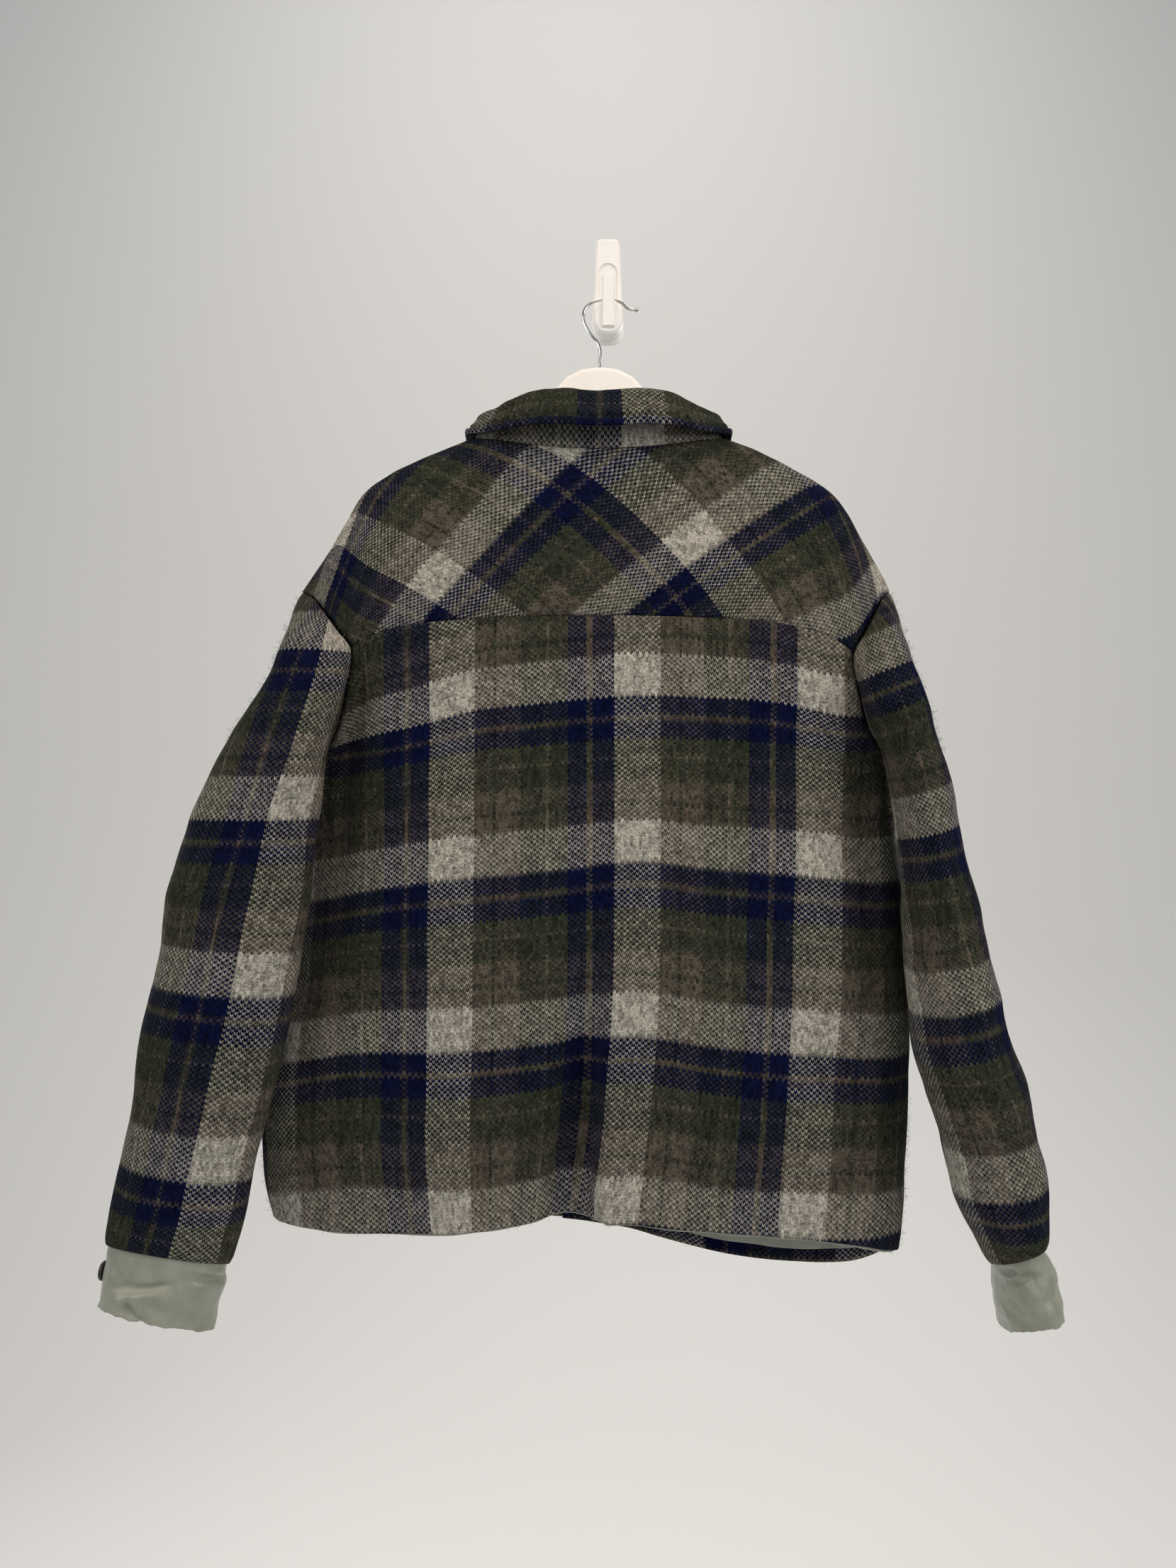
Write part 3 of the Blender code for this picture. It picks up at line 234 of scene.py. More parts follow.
def swept_wire_tree():
    """Round wire along a line of points, with a ball at a place."""
    tree, given, result = new_tree("swept_wire", {
        "Wire radius": "Float", "Ball radius": "Float", "Ball place": "Vector", "Finish": "Material"})
    line = add(tree, "GeometryNodeMeshToCurve", {"Mesh": given["Geometry"]})
    ring = add(tree, "GeometryNodeCurvePrimitiveCircle", {"Resolution": 20, "Radius": given["Wire radius"]})
    wire = add(tree, "GeometryNodeCurveToMesh", {
        "Curve": line.outputs["Curve"], "Profile Curve": ring.outputs["Curve"], "Fill Caps": True})
    ball = add(tree, "GeometryNodeMeshUVSphere", {
        "Segments": 24, "Rings": 14, "Radius": given["Ball radius"]})
    end = add(tree, "GeometryNodeTransform", {
        "Geometry": ball.outputs["Mesh"], "Translation": given["Ball place"]})
    both = add(tree, "GeometryNodeJoinGeometry", {"Geometry": wire.outputs["Mesh"]})
    tree.links.new(end.outputs["Geometry"], both.inputs["Geometry"])
    return end_tree(tree, given, result, smooth_and_real(tree, both.outputs["Geometry"]))


bends = np.array([(x, hang_y(z), z) for x, z in WIRE_BENDS])[:, None, :]
bend_run = runs(bends)
wire_line = along(bends, bend_run, np.linspace(0.0, bend_run[-1], WIRE_POINTS))[:, 0]
last_step = wire_line[-1] - wire_line[-2]
ball_place = wire_line[-1] + last_step / np.linalg.norm(last_step) * BALL_BEYOND
wire = grow("wire_hook", line_mesh("wire_line", wire_line), swept_wire_tree(), {
    "Wire radius": WIRE_RADIUS, "Ball radius": BALL_RADIUS, "Ball place": tuple(ball_place),
    "Finish": chrome_plate()})
stand_for(wire, "hanger_hook")

# Back panel: the shape of the body
# The back is one panel of thick brushed wool, sewn to the yoke above, to the fronts at the sides and hung
# free at the hem. Its body sections, armholes and hem are the sizes of the solids, in metres.
WOOL = 0.0030
BODY_COLUMNS = ("z", "left", "right", "left_y", "right_y", "back_y", "front_y")
BODY = (
    (-0.905, -0.324, 0.281, -0.036, -0.036, -0.127, -0.014),
    (-0.847, -0.336, 0.287, -0.034, -0.035, -0.131, -0.013),
    (-0.781, -0.333, 0.290, -0.032, -0.034, -0.133, -0.012),
    (-0.728, -0.322, 0.293, -0.031, -0.032, -0.133, -0.012),
    (-0.688, -0.314, 0.293, -0.030, -0.031, -0.133, -0.012),
    (-0.621, -0.302, 0.289, -0.030, -0.030, -0.132, -0.012),
    (-0.555, -0.290, 0.282, -0.032, -0.031, -0.130, -0.012),
    (-0.500, -0.281, 0.273, -0.042, -0.041, -0.126, -0.013),
    (-0.465, -0.271, 0.262, -0.052, -0.052, -0.123, -0.015),
)
BODY_ROWS = 10
BODY_SQUARENESS = 2.25
CENTRE_X_NECK = -0.010
CENTRE_X_HEM = -0.025
ARMHOLE_COLUMNS = ("z", "left", "right", "back_edge_y", "front_edge_y", "back_y", "front_y")
ARMHOLE = (
    (-0.465, -0.271, 0.2620, -0.052, -0.052, -0.123, -0.015),
    (-0.458, -0.266, 0.2570, -0.064, -0.043, -0.122, -0.016),
    (-0.435, -0.254, 0.2430, -0.077, -0.033, -0.121, -0.018),
    (-0.400, -0.243, 0.2310, -0.089, -0.026, -0.118, -0.021),
    (-0.366, -0.237, 0.2235, -0.097, -0.024, -0.115, -0.024),
)
HEM_COLUMNS = ("x", "back_z", "front_z")
HEM = (
    (-0.322, -0.906, -0.906), (-0.200, -0.902, -0.914), (-0.100, -0.893, -0.918), (-0.040, -0.888, -0.920),
    (0.010, -0.886, -0.928), (0.060, -0.892, -0.942), (0.120, -0.899, -0.956), (0.200, -0.914, -0.962),
    (0.237, -0.922, -0.960), (0.260, -0.930, -0.952), (0.279, -0.938, -0.938),
)
FOLD_COLUMNS = ("hem_x", "top_x", "left_spread", "right_spread", "depth", "top_z")
FOLDS = (
    (-0.030, -0.004, 0.050, 0.018, 0.024, -0.560),
    (0.190, 0.150, 0.050, 0.060, 0.007, -0.450),
    (-0.200, -0.160, 0.060, 0.050, 0.006, -0.480),
)
SHOULDER_SHARES = (1.0, 0.985, 0.94, 0.87, 0.78, 0.68, 0.58, 0.48)
NECK_SHARES = (0.43, 0.36, 0.25, 0.15, 0.07)
CENTRE_SHARES = (0.008, -0.065)
YOKE_Z = -0.339
YOKE_SAG = 0.011
YOKE_END_DROP = 0.016
YOKE_HALF = 0.227
LAP_STEP = 0.0042
LAP_START = 0.17
LAP_FULL = 0.08


def column(table, names, name):
    """One named column of a table as an array."""
    return np.array([row[names.index(name)] for row in table])


def smooth(value, xs, ys):
    """Smooth curve through (xs, ys), xs rising, level beyond both ends."""
    if value <= xs[0]:
        return ys[0]
    if value >= xs[-1]:
        return ys[-1]
    slopes = np.gradient(ys, xs)
    i = int(np.searchsorted(xs, value, side="right")) - 1
    step = xs[i + 1] - xs[i]
    t = (value - xs[i]) / step
    start = (1 + 2 * t) * (1 - t) ** 2 * ys[i] + t * (1 - t) ** 2 * step * slopes[i]
    return start + t * t * (3 - 2 * t) * ys[i + 1] + t * t * (t - 1) * step * slopes[i + 1]


def read(table, names, key, value, name):
    """Smooth value of a named column at a value of the key column."""
    return smooth(value, column(table, names, key), column(table, names, name))


def ease(t):
    """Soft step from 0 to 1, of a number or an array."""
    t = np.clip(t, 0.0, 1.0)
    return t * t * (3 - 2 * t)


def unit(v):
    """Vectors of length one."""
    return v / np.maximum(np.linalg.norm(v, axis=-1, keepdims=True), 1e-12)


def centre_x(z):
    """Middle of the body at a height: the jacket hangs a little to the left."""
    top = SHOULDER[-1][2]
    return CENTRE_X_NECK + (CENTRE_X_HEM - CENTRE_X_NECK) * (top - z) / (top - BODY[0][0])


def bulge(share):
    """Depth share of a rounded section at a share of its half width."""
    return max(0.0, 1.0 - abs(share) ** BODY_SQUARENESS) ** (1.0 / BODY_SQUARENESS)


def fold_depth(x, z):
    """How far the back is drawn in by its folds."""
    total = 0.0
    hem_z = BODY[0][0]
    for row in FOLDS:
        fold = dict(zip(FOLD_COLUMNS, row))
        rise = (z - hem_z) / (fold["top_z"] - hem_z)
        middle = fold["hem_x"] + (fold["top_x"] - fold["hem_x"]) * rise
        spread = fold["left_spread"] if x < middle else fold["right_spread"]
        total += fold["depth"] * (1 - ease(rise)) * math.exp(-((x - middle) / spread) ** 2)
    return total


def lap_depth(side, share):
    """The right front passes inside the left one at the centre."""
    return 0.0 if side == "left" else LAP_STEP * ease((LAP_START - share) / (LAP_START - LAP_FULL))


def body_point(side, share, row, face):
    """Point of the lower body: row 0 is the hem, the last row the underarm."""
    z = BODY[0][0] + (BODY[-1][0] - BODY[0][0]) * row / BODY_ROWS
    edge_x, side_y, face_y = (read(BODY, BODY_COLUMNS, "z", z, n) for n in (side, side + "_y", face + "_y"))
    x = centre_x(z) + (edge_x - centre_x(z)) * share
    y = side_y + (face_y - side_y) * bulge(share)
    lift = (read(HEM, HEM_COLUMNS, "x", x, face + "_z") - BODY[0][0]) * (1 - row / BODY_ROWS) ** 2
    y += fold_depth(x, z) * bulge(share) if face == "back" else -lap_depth(side, share)
    return np.array((x, y, z + lift))


def yoke_seam_z(x):
    """Height of the yoke seam across the back."""
    reach = abs(x - CENTRE_X_NECK) / YOKE_HALF
    return YOKE_Z - YOKE_SAG * reach ** 2 - YOKE_END_DROP * reach ** 8


def chest_point(side, share, row, face):
    """Point between the underarm and the yoke seam, or the chest line in front."""
    size = dict(zip(ARMHOLE_COLUMNS, ARMHOLE[row]))
    z_edge, edge_y, face_y = size["z"], size[face + "_edge_y"], size[face + "_y"]
    rise = (z_edge - ARMHOLE[0][0]) / (ARMHOLE[-1][0] - ARMHOLE[0][0])
    x = centre_x(z_edge) + (size[side] - centre_x(z_edge)) * share
    y = edge_y + (face_y - edge_y) * bulge(share)
    if face == "front":
        return np.array((x, y - lap_depth(side, share), z_edge))
    z = ARMHOLE[0][0] + rise * (yoke_seam_z(x) - ARMHOLE[0][0])
    return np.array((x, y + fold_depth(x, z) * bulge(share), z))


# Back yoke: the shape over the shoulders
# The yoke is cut on the bias and wraps over both shoulders to a seam just in front of them; the collar is
# sewn into its neck edge. These are the solids' sizes for the shoulder ridge and the neck.
SHOULDER_COLUMNS = ("left_x", "right_x", "z", "ridge_y", "back_pull", "front_pull")
SHOULDER = (
    (-0.2905, 0.2660, -0.311, -0.066, 0.036, 0.034),
    (-0.2700, 0.2495, -0.279, -0.063, 0.036, 0.032),
    (-0.2520, 0.2325, -0.246, -0.060, 0.034, 0.030),
    (-0.2350, 0.2130, -0.217, -0.056, 0.032, 0.028),
    (-0.2075, 0.1860, -0.196, -0.053, 0.031, 0.027),
    (-0.1780, 0.1580, -0.181, -0.051, 0.031, 0.026),
    (-0.1500, 0.1300, -0.168, -0.049, 0.030, 0.026),
    (-0.1280, 0.1090, -0.160, -0.047, 0.030, 0.025),
)
YOKE_STEPS = (0.24, 0.44, 0.62, 0.77, 0.90, 1.0)
YOKE_FRONT = 0.022
YOKE_FRONT_STEPS = (0.42, 0.74, 1.0)
YOKE_START_LEAN = 0.03
YOKE_START_RISE = 0.38
FRONT_TOP_ROWS = 5
FRONT_CURVE_RISE = 0.4
NECK_X = -0.009
NECK_HALF = 0.119
NECK_BACK = 0.037
NECK_DIP = 0.0175
NECK_PULL = 0.026
NECK_SLOPE = 60.0
FRONT_NECK_DROP = 0.066
FRONT_NECK_Y = -0.030


def bezier(p, t):
    """Point of the cubic curve with control points p."""
    s = 1 - t
    return s ** 3 * p[0] + 3 * s * s * t * p[1] + 3 * s * t * t * p[2] + t ** 3 * p[3]


def parameter_before_end(p, length):
    """Curve parameter that lies a length before the end of the cubic curve."""
    ts = np.linspace(0.0, 1.0, 81)
    run = runs(np.array([bezier(p, t) for t in ts])[:, None, :])
    return float(np.interp(run[-1] - length, run, ts))


def shoulder_row(index):
    """Named sizes of the shoulder ridge in a mesh column."""
    return dict(zip(SHOULDER_COLUMNS, SHOULDER[index]))


def ridge_point(side, index):
    """Point of the shoulder ridge in a mesh column."""
    row = shoulder_row(index)
    return np.array((row[side + "_x"], row["ridge_y"], row["z"]))


def back_curve(side, index, share):
    """Cubic curve up the yoke, from its seam to the ridge or to the neck seam."""
    low = chest_point(side, share, len(ARMHOLE) - 1, "back")
    if index < len(SHOULDER):
        top = ridge_point(side, index)
        pull = np.array((0.0, -shoulder_row(index)["back_pull"], 0.0))
    else:
        cos = share / SHOULDER_SHARES[-1]
        sin2 = 1 - cos * cos
        corner = shoulder_row(-1)
        sign = -1 if side == "left" else 1
        neck_y = corner["ridge_y"] - NECK_BACK * math.sqrt(sin2)
        top = np.array((NECK_X + sign * NECK_HALF * cos, neck_y, corner["z"] - NECK_DIP * sin2))
        slope = math.radians(NECK_SLOPE) * math.sqrt(sin2)
        pull = NECK_PULL * np.array((0.0, -math.cos(slope), -math.sin(slope)))
    third = np.array(((top[0] - low[0]) / 3, 0.0, 0.0))
    rise = top[2] - low[2]
    start = low + third + np.array((0.0, YOKE_START_LEAN * rise, YOKE_START_RISE * rise))
    return (low, start, top - third + pull, top)


def front_curve(side, index, share):
    """Cubic curve up the front, from the chest line to the ridge or to the neck seam."""
    low = chest_point(side, share, len(ARMHOLE) - 1, "front")
    if index < len(SHOULDER):
        top = ridge_point(side, index)
        pull = np.array((0.0, shoulder_row(index)["front_pull"], 0.0))
    else:
        corner_curve = front_curve(side, len(SHOULDER) - 1, SHOULDER_SHARES[-1])
        corner = bezier(corner_curve, parameter_before_end(corner_curve, YOKE_FRONT))
        cos = min(1.0, abs(share) / SHOULDER_SHARES[-1])
        fall = math.sin(math.pi / 2 * (1 - cos))
        x = NECK_X + (corner[0] - NECK_X) * share / SHOULDER_SHARES[-1]
        y = corner[1] + (FRONT_NECK_Y - corner[1]) * fall - lap_depth(side, share)
        top = np.array((x, y, corner[2] - FRONT_NECK_DROP * fall))
        pull = np.array((0.0, 0.0, -FRONT_CURVE_RISE * (top[2] - low[2])))
    third = np.array(((top[0] - low[0]) / 3, 0.0, 0.0))
    start = low + third + np.array((0.0, 0.0, FRONT_CURVE_RISE * (top[2] - low[2])))
    return (low, start, top - third + pull, top)


half = SHOULDER_SHARES + NECK_SHARES
back_columns = [("left", i, s) for i, s in enumerate(half + (0.0,))]
back_columns += [("right", i, s) for i, s in enumerate(half)][::-1]
back_net = [[body_point(side, share, row, "back") for side, i, share in back_columns]
            for row in range(BODY_ROWS + 1)]
back_net += [[chest_point(side, share, row, "back") for side, i, share in back_columns]
             for row in range(1, len(ARMHOLE))]
back_net += [[bezier(back_curve(*c), step) for c in back_columns] for step in YOKE_STEPS]
back_net = np.array(back_net)
SEAM_ROW = BODY_ROWS + len(ARMHOLE) - 1
NECK_COLUMN = len(SHOULDER) - 1


def front_nets(side):
    """Nets of one front and of the yoke's front part, from the side edge to the centre edge."""
    columns = list(enumerate(half + CENTRE_SHARES))
    net = [[body_point(side, s, row, "front") for i, s in columns] for row in range(BODY_ROWS + 1)]
    net += [[chest_point(side, s, row, "front") for i, s in columns] for row in range(1, len(ARMHOLE))]
    curves = [front_curve(side, i, s) for i, s in columns]
    seams = [parameter_before_end(c, YOKE_FRONT) if i < len(SHOULDER) else 1.0 for i, c in enumerate(curves)]
    for row in range(1, FRONT_TOP_ROWS + 1):
        net.append([bezier(c, t * row / FRONT_TOP_ROWS) for c, t in zip(curves, seams)])
    flap = [net[-1][:len(SHOULDER)]]
    for step in YOKE_FRONT_STEPS:
        flap.append([bezier(c, t + (1 - t) * step) for c, t in zip(curves[:len(SHOULDER)], seams)])
    return np.array(net), np.array(flap)


front_net = {}
flap_net = {}
for side in ("left", "right"):
    front_net[side], flap_net[side] = front_nets(side)

# Wool cloth
# Thick brushed wool in a large check: one colour order, navy with a tan thread, beige, brown and olive, the
# same across and along. The yarns cross in small staggered V's, and the raised nap softens every edge.
CHECK_ACROSS = 0.1610
CHECK_ALONG = 0.1540
V_WIDE = 0.0027
V_TALL = 0.0048
NAVY = (0.0020, 0.0036, 0.0205)
TAN = (0.0620, 0.0500, 0.0380)
BEIGE = (0.3100, 0.2880, 0.2440)
BROWN = (0.0700, 0.0580, 0.0445)
OLIVE = (0.0225, 0.0260, 0.0165)
NAP_GREY = (0.1500, 0.1420, 0.1300)
STRIPES = (
    (0.000, NAVY), (0.108, NAVY), (0.114, TAN), (0.138, TAN), (0.144, NAVY), (0.252, NAVY), (0.256, BEIGE),
    (0.502, BEIGE), (0.506, BROWN), (0.600, BROWN), (0.606, OLIVE), (0.622, OLIVE), (0.628, BROWN),
    (0.740, BROWN), (0.760, OLIVE), (0.880, OLIVE), (0.886, BROWN), (0.900, BROWN), (0.906, OLIVE),
    (0.996, OLIVE),
)
NAVY_MIDDLE = 0.126
V_SLANT = 0.40
V_OVER = 0.45
V_EDGE = (-0.20, 0.10)
WEFT_READ_AT = 0.65
YARN_STRAY = (0.0012, 0.0018)
STRAY_SCALE = 190.0
FIBRE_SCALE = 820.0
CLUMP_SCALE = 430.0
# CROSSING_FUZZ_AND_SHADE: where light and dark yarns cross, the colour is pulled towards the darker one,
# partly for the dark fibres lying over the light yarns and partly as painted shade of the nap.
CROSSING_FUZZ_AND_SHADE = 0.42
NAP_HAZE = 0.12
# GAP_SHADE darkens the cloth where the wave is low, between the V's: painted shade between the yarns.
FIBRE_TONE, CLUMP_TONE, YARN_TONE, GAP_SHADE = 1.8, 2.0, 0.75, 0.30
TONE_START = -1.465
TONE_LEAST = 0.15
WAVE_HEIGHT, FIBRE_HEIGHT, CLUMP_HEIGHT = 0.35, 1.4, 0.8
WOOL_RELIEF = (0.75, 0.0011)
WOOL_FINISH = {
    "Roughness": 0.95, "Specular IOR Level": 0.02, "Sheen Weight": 0.02, "Sheen Roughness": 0.55,
    "Sheen Tint": (0.80, 0.78, 0.74, 1.0)}
SATIN_TONES = ((0.195, 0.205, 0.160), (0.262, 0.270, 0.216))
SATIN_GLOSS = (0.30, 0.44)
SATIN_CLOUDS = 55.0
SATIN_REACH = (0.30, 0.72)
SATIN_FINISH = {"Sheen Weight": 0.10, "Specular IOR Level": 0.45}
SATIN_THREADS = 620.0
SATIN_RELIEF = (0.25, 0.00012)


def wool_check(name, haze):
    """Check woven from the piece's own weave map, in metres of cloth; haze is how pale the fibres are."""
    material, tree, shader = new_material(name, WOOL_FINISH)

    def sums(kind, *values):
        """One step of arithmetic on numbers or sockets."""
        return add(tree, "ShaderNodeMath", dict(enumerate(values)), operation=kind).outputs[0]

    def weighted(total, *parts):
        """A total plus each socket times its weight."""
        for value, weight in parts:
            total = sums("MULTIPLY_ADD", value, weight, total)
        return total

    def mixed(kind, share, first, second):
        """Two colours mixed by a share."""
        inputs = {"Factor": share, "A": first, "B": second}
        return add(tree, "ShaderNodeMix", inputs, data_type="RGBA", blend_type=kind).outputs["Result"]

    def stripes(length, check):
        """Colour of the check's order at a length of cloth."""
        node = add(tree, "ShaderNodeValToRGB", {"Fac": sums("FRACT", sums("DIVIDE", length, check))})
        spots = node.color_ramp.elements
        while len(spots) < len(STRIPES):
            spots.new(1.0)
        for spot, (position, colour) in zip(spots, STRIPES):
            spot.position = position
        for spot, (position, colour) in zip(spots, STRIPES):
            spot.color = (*colour, 1.0)
        return node.outputs["Color"]

    weave = add(tree, "ShaderNodeUVMap", uv_map="weave").outputs["UV"]
    place = add(tree, "ShaderNodeSeparateXYZ", {0: weave}).outputs
    stray = speckle(tree, weave, STRAY_SCALE).outputs["Color"]
    stray = add(tree, "ShaderNodeSeparateColor", {0: stray}).outputs
    u, v = (weighted(place[k], (sums("SUBTRACT", stray[k], 0.5), YARN_STRAY[k])) for k in (0, 1))
    across = sums("DIVIDE", u, V_WIDE)
    rib = sums("FLOOR", across)
    slant = sums("ABSOLUTE", sums("MULTIPLY_ADD", sums("FRACT", across), 2.0, -1.0))
    stagger = sums("MULTIPLY", sums("FLOORED_MODULO", rib, 2.0), 0.5)
    rise = weighted(sums("ADD", sums("DIVIDE", v, V_TALL), stagger), (slant, -V_SLANT))
    pick = sums("FLOOR", rise)
    warp = stripes(sums("MULTIPLY", sums("ADD", rib, 0.5), V_WIDE), CHECK_ACROSS)
    level = sums("SUBTRACT", sums("ADD", pick, WEFT_READ_AT), stagger)
    weft = stripes(sums("MULTIPLY", level, V_TALL), CHECK_ALONG)
    wave = sums("SINE", sums("MULTIPLY", rise, 2 * math.pi))
    over = add(tree, "ShaderNodeMapRange", {
        "Value": weighted(wave, (slant, V_OVER)), "From Min": V_EDGE[0], "From Max": V_EDGE[1]})
    yarns = mixed("MIX", over.outputs["Result"], warp, weft)
    # Crossings pulled towards the darker yarn: partly dark fibres lying over light ones, partly painted shade
    # of the nap.
    for other in (warp, weft):
        yarns = mixed("DARKEN", CROSSING_FUZZ_AND_SHADE, yarns, other)
    if haze:
        yarns = mixed("MIX", haze, yarns, (*NAP_GREY, 1.0))
    fibre = speckle(tree, weave, FIBRE_SCALE, 3.0).outputs["Fac"]
    clump = speckle(tree, weave, CLUMP_SCALE).outputs["Fac"]
    number = add(tree, "ShaderNodeCombineXYZ", {0: rib, 1: pick}).outputs[0]
    yarn = add(tree, "ShaderNodeTexWhiteNoise", {"Vector": number}, noise_dimensions="2D").outputs["Value"]
    # Tone of the yarns: random fibre, clump and yarn tones, and painted shade in the gaps between the V's.
    tone = weighted(TONE_START, (fibre, FIBRE_TONE), (clump, CLUMP_TONE), (yarn, YARN_TONE),
                    (sums("ABSOLUTE", wave), GAP_SHADE))
    coloured = mixed("MULTIPLY", 1.0, yarns, sums("MAXIMUM", tone, TONE_LEAST))
    tree.links.new(coloured, shader.inputs["Base Color"])
    height = weighted(0.0, (wave, WAVE_HEIGHT), (fibre, FIBRE_HEIGHT), (clump, CLUMP_HEIGHT))
    raise_skin(tree, shader, height, *WOOL_RELIEF)
    return material


def satin_cloth():
    """Sage satin of the other face: fine slanted threads, a soft gloss and small uneven tone."""
    material, tree, shader = new_material("sage_satin", SATIN_FINISH)
    place = object_place(tree)
    clouds = speckle(tree, place, SATIN_CLOUDS, 5.0).outputs["Fac"]
    uneven_finish(tree, shader, clouds, SATIN_TONES, SATIN_GLOSS, SATIN_REACH)
    threads = add(tree, "ShaderNodeTexWave", {
        "Vector": place, "Scale": SATIN_THREADS, "Distortion": 1.5}, bands_direction="DIAGONAL")
    raise_skin(tree, shader, threads.outputs["Fac"], *SATIN_RELIEF)
    return material


wool = wool_check("wool_check", 0.0)
wool_nap = wool_check("wool_nap", NAP_HAZE)
satin = satin_cloth()
MESH_STEP = 0.0045
EDGE_LINES = np.array((0.0, 0.0006, 0.0015, 0.0030))
EDGE_STRIP = 0.006
EDGE_ROUND = 0.6
NOISE_GAIN = 1.6
FIBRE_BEND = ((0.0, 0.0, -0.05), (0.0, 0.0, 0.45), (0.55, 0.0, 0.62))
FIBRE_RADIUS = 0.014
FIBRE_LEAN = 0.7
FIBRE_LENGTHS = (0.0025, 0.0075)
RIPPLE_COLUMNS = ("height", "size", "seed")
CREASE_COLUMNS = ("x0", "z0", "x1", "z1", "width", "depth")
CREASE_WAVES = (0.3, 5.0, 90.0)
CREASE_PAST_END = 0.15
CREASE_FADE = 0.4


def lines(low, high, step, first=True, last=True):
    """Mesh lines from one edge to the other, closer together beside a free edge, where the cloth turns."""
    start = low + EDGE_STRIP if first else low
    end = high - EDGE_STRIP if last else high
    parts = [np.linspace(start, end, max(2, int(round((end - start) / step))) + 1)]
    if first:
        parts.insert(0, low + EDGE_LINES)
    if last:
        parts.append(high - EDGE_LINES[::-1])
    return np.concatenate(parts)


def both_runs(net):
    """Mean runs up and across a net of points."""
    return runs(net), runs(net.transpose(1, 0, 2))


def surface(net, rows_at, columns_at, row_run, column_run):
    """Fine smooth surface through a net of points, read at runs along its rows and columns."""
    fine = along(net, row_run, rows_at)
    return along(fine.transpose(1, 0, 2), column_run, columns_at).transpose(1, 0, 2)


def lengths(grid, axis):
    """Run along one axis of a grid of points, from its start."""
    run = np.cumsum(np.linalg.norm(np.diff(grid, axis=axis), axis=2), axis=axis)
    return np.insert(run, 0, 0.0, axis=axis)


def patch(ids, weave, flip):
    """Quads of a grid of vertex numbers, with the weave place of each corner."""
    def corners(a):
        parts = (a[:-1, :-1], a[:-1, 1:], a[1:, 1:], a[1:, :-1])
        return np.stack(parts, axis=2).reshape(-1, 4, *a.shape[2:])
    quads, places = corners(ids), corners(weave)
    return (quads[:, ::-1], places[:, ::-1]) if flip else (quads, places)


def normals_of(points, quads):
    """Mean outward direction at each point."""
    a, b, c, d = (points[quads[:, k]] for k in range(4))
    facing = np.cross(c - a, d - b)
    total = np.zeros_like(points)
    for k in range(4):
        np.add.at(total, quads[:, k], facing)
    return unit(total)


def lay(grid, weave, flip=False, closed=False):
    """Cloth laid on a grid: quads, their weave places, points and outward directions. The last column of a
    closed grid lies on its first."""
    count = grid.shape[1] - closed
    ids = np.arange(len(grid) * count).reshape(-1, count)
    if closed:
        ids = np.concatenate((ids, ids[:, :1]), axis=1)
    quads, places = patch(ids, weave, flip)
    points = grid[:, :count].reshape(-1, 3)
    return quads, places, points, normals_of(points, quads)


def free_edge(points, quads):
    """Which points lie on a free edge, and how far each point is from one."""
    pairs = np.sort(np.concatenate([quads[:, (k, (k + 1) % 4)] for k in range(4)]), axis=1)
    pairs, counts = np.unique(pairs, axis=0, return_counts=True)
    rim = np.zeros(len(points), dtype=bool)
    rim[pairs[counts == 1].ravel()] = True
    tree = kdtree.KDTree(int(rim.sum()))
    for k in np.flatnonzero(rim):
        tree.insert(Vector(points[k]), int(k))
    tree.balance()
    return rim, np.array([tree.find(Vector(p))[2] for p in points])


def edge_gap(points, quads):
    """How far each point is from a free edge."""
    return free_edge(points, quads)[1]


def make_shell(name, points, quads, weave, wall, materials, turned_in=0.004):
    """Closed thin shell of cloth: outer face, inner face, and edges that round over between them. The last
    material is the inner face's, but for a strip beside the edges, where the cloth is turned in."""
    normals = normals_of(points, quads)
    rim, reach = free_edge(points, quads)
    wall = wall * np.ones(len(points))
    turn = np.sqrt(1 - (1 - np.minimum(reach / (EDGE_ROUND * wall), 1.0)) ** 2)
    depth = wall / 2 * (1 - turn)
    outer = points - normals * depth[:, None]
    inner = (points - normals * (wall - depth)[:, None])[~rim]
    back = np.arange(len(points))
    back[~rim] = len(points) + np.arange(len(inner))
    faces = np.concatenate((quads, back[quads][:, ::-1]))
    places = np.concatenate((weave, weave[:, ::-1]))
    lined = reach[quads].min(axis=1) > turned_in
    kinds = np.concatenate((np.zeros(len(quads), dtype=np.int32), lined * np.int32(len(materials) - 1)))
    mesh = bpy.data.meshes.new(name)
    mesh.from_pydata(np.concatenate((outer, inner)).tolist(), [], faces.tolist())
    mesh.uv_layers.new(name="weave").uv.foreach_set("vector", places.reshape(-1).astype(np.float32))
    for material in materials:
        mesh.materials.append(material)
    mesh.polygons.foreach_set("material_index", kinds)
    mesh.polygons.foreach_set("use_smooth", np.ones(len(faces), dtype=bool))
    mesh.update()
    return put(name, mesh)


def roughness_of(points, size, seed):
    """Soft uneven noise over points, about -1 to 1, at a size in metres."""
    start = Vector((seed, seed * 1.7, seed * 0.6))
    return np.array([noise.noise(Vector(p / size) + start) for p in points]) * NOISE_GAIN


def ripples(points, table):
    """Soft unevenness of a cloth, a row for each size of it."""
    rows = (dict(zip(RIPPLE_COLUMNS, row)) for row in table)
    return sum(row["height"] * roughness_of(points, row["size"], row["seed"]) for row in rows)


def hump(gap, width):
    """Soft hump, 1 where the gap is 0."""
    return np.exp(-(gap / width) ** 2)


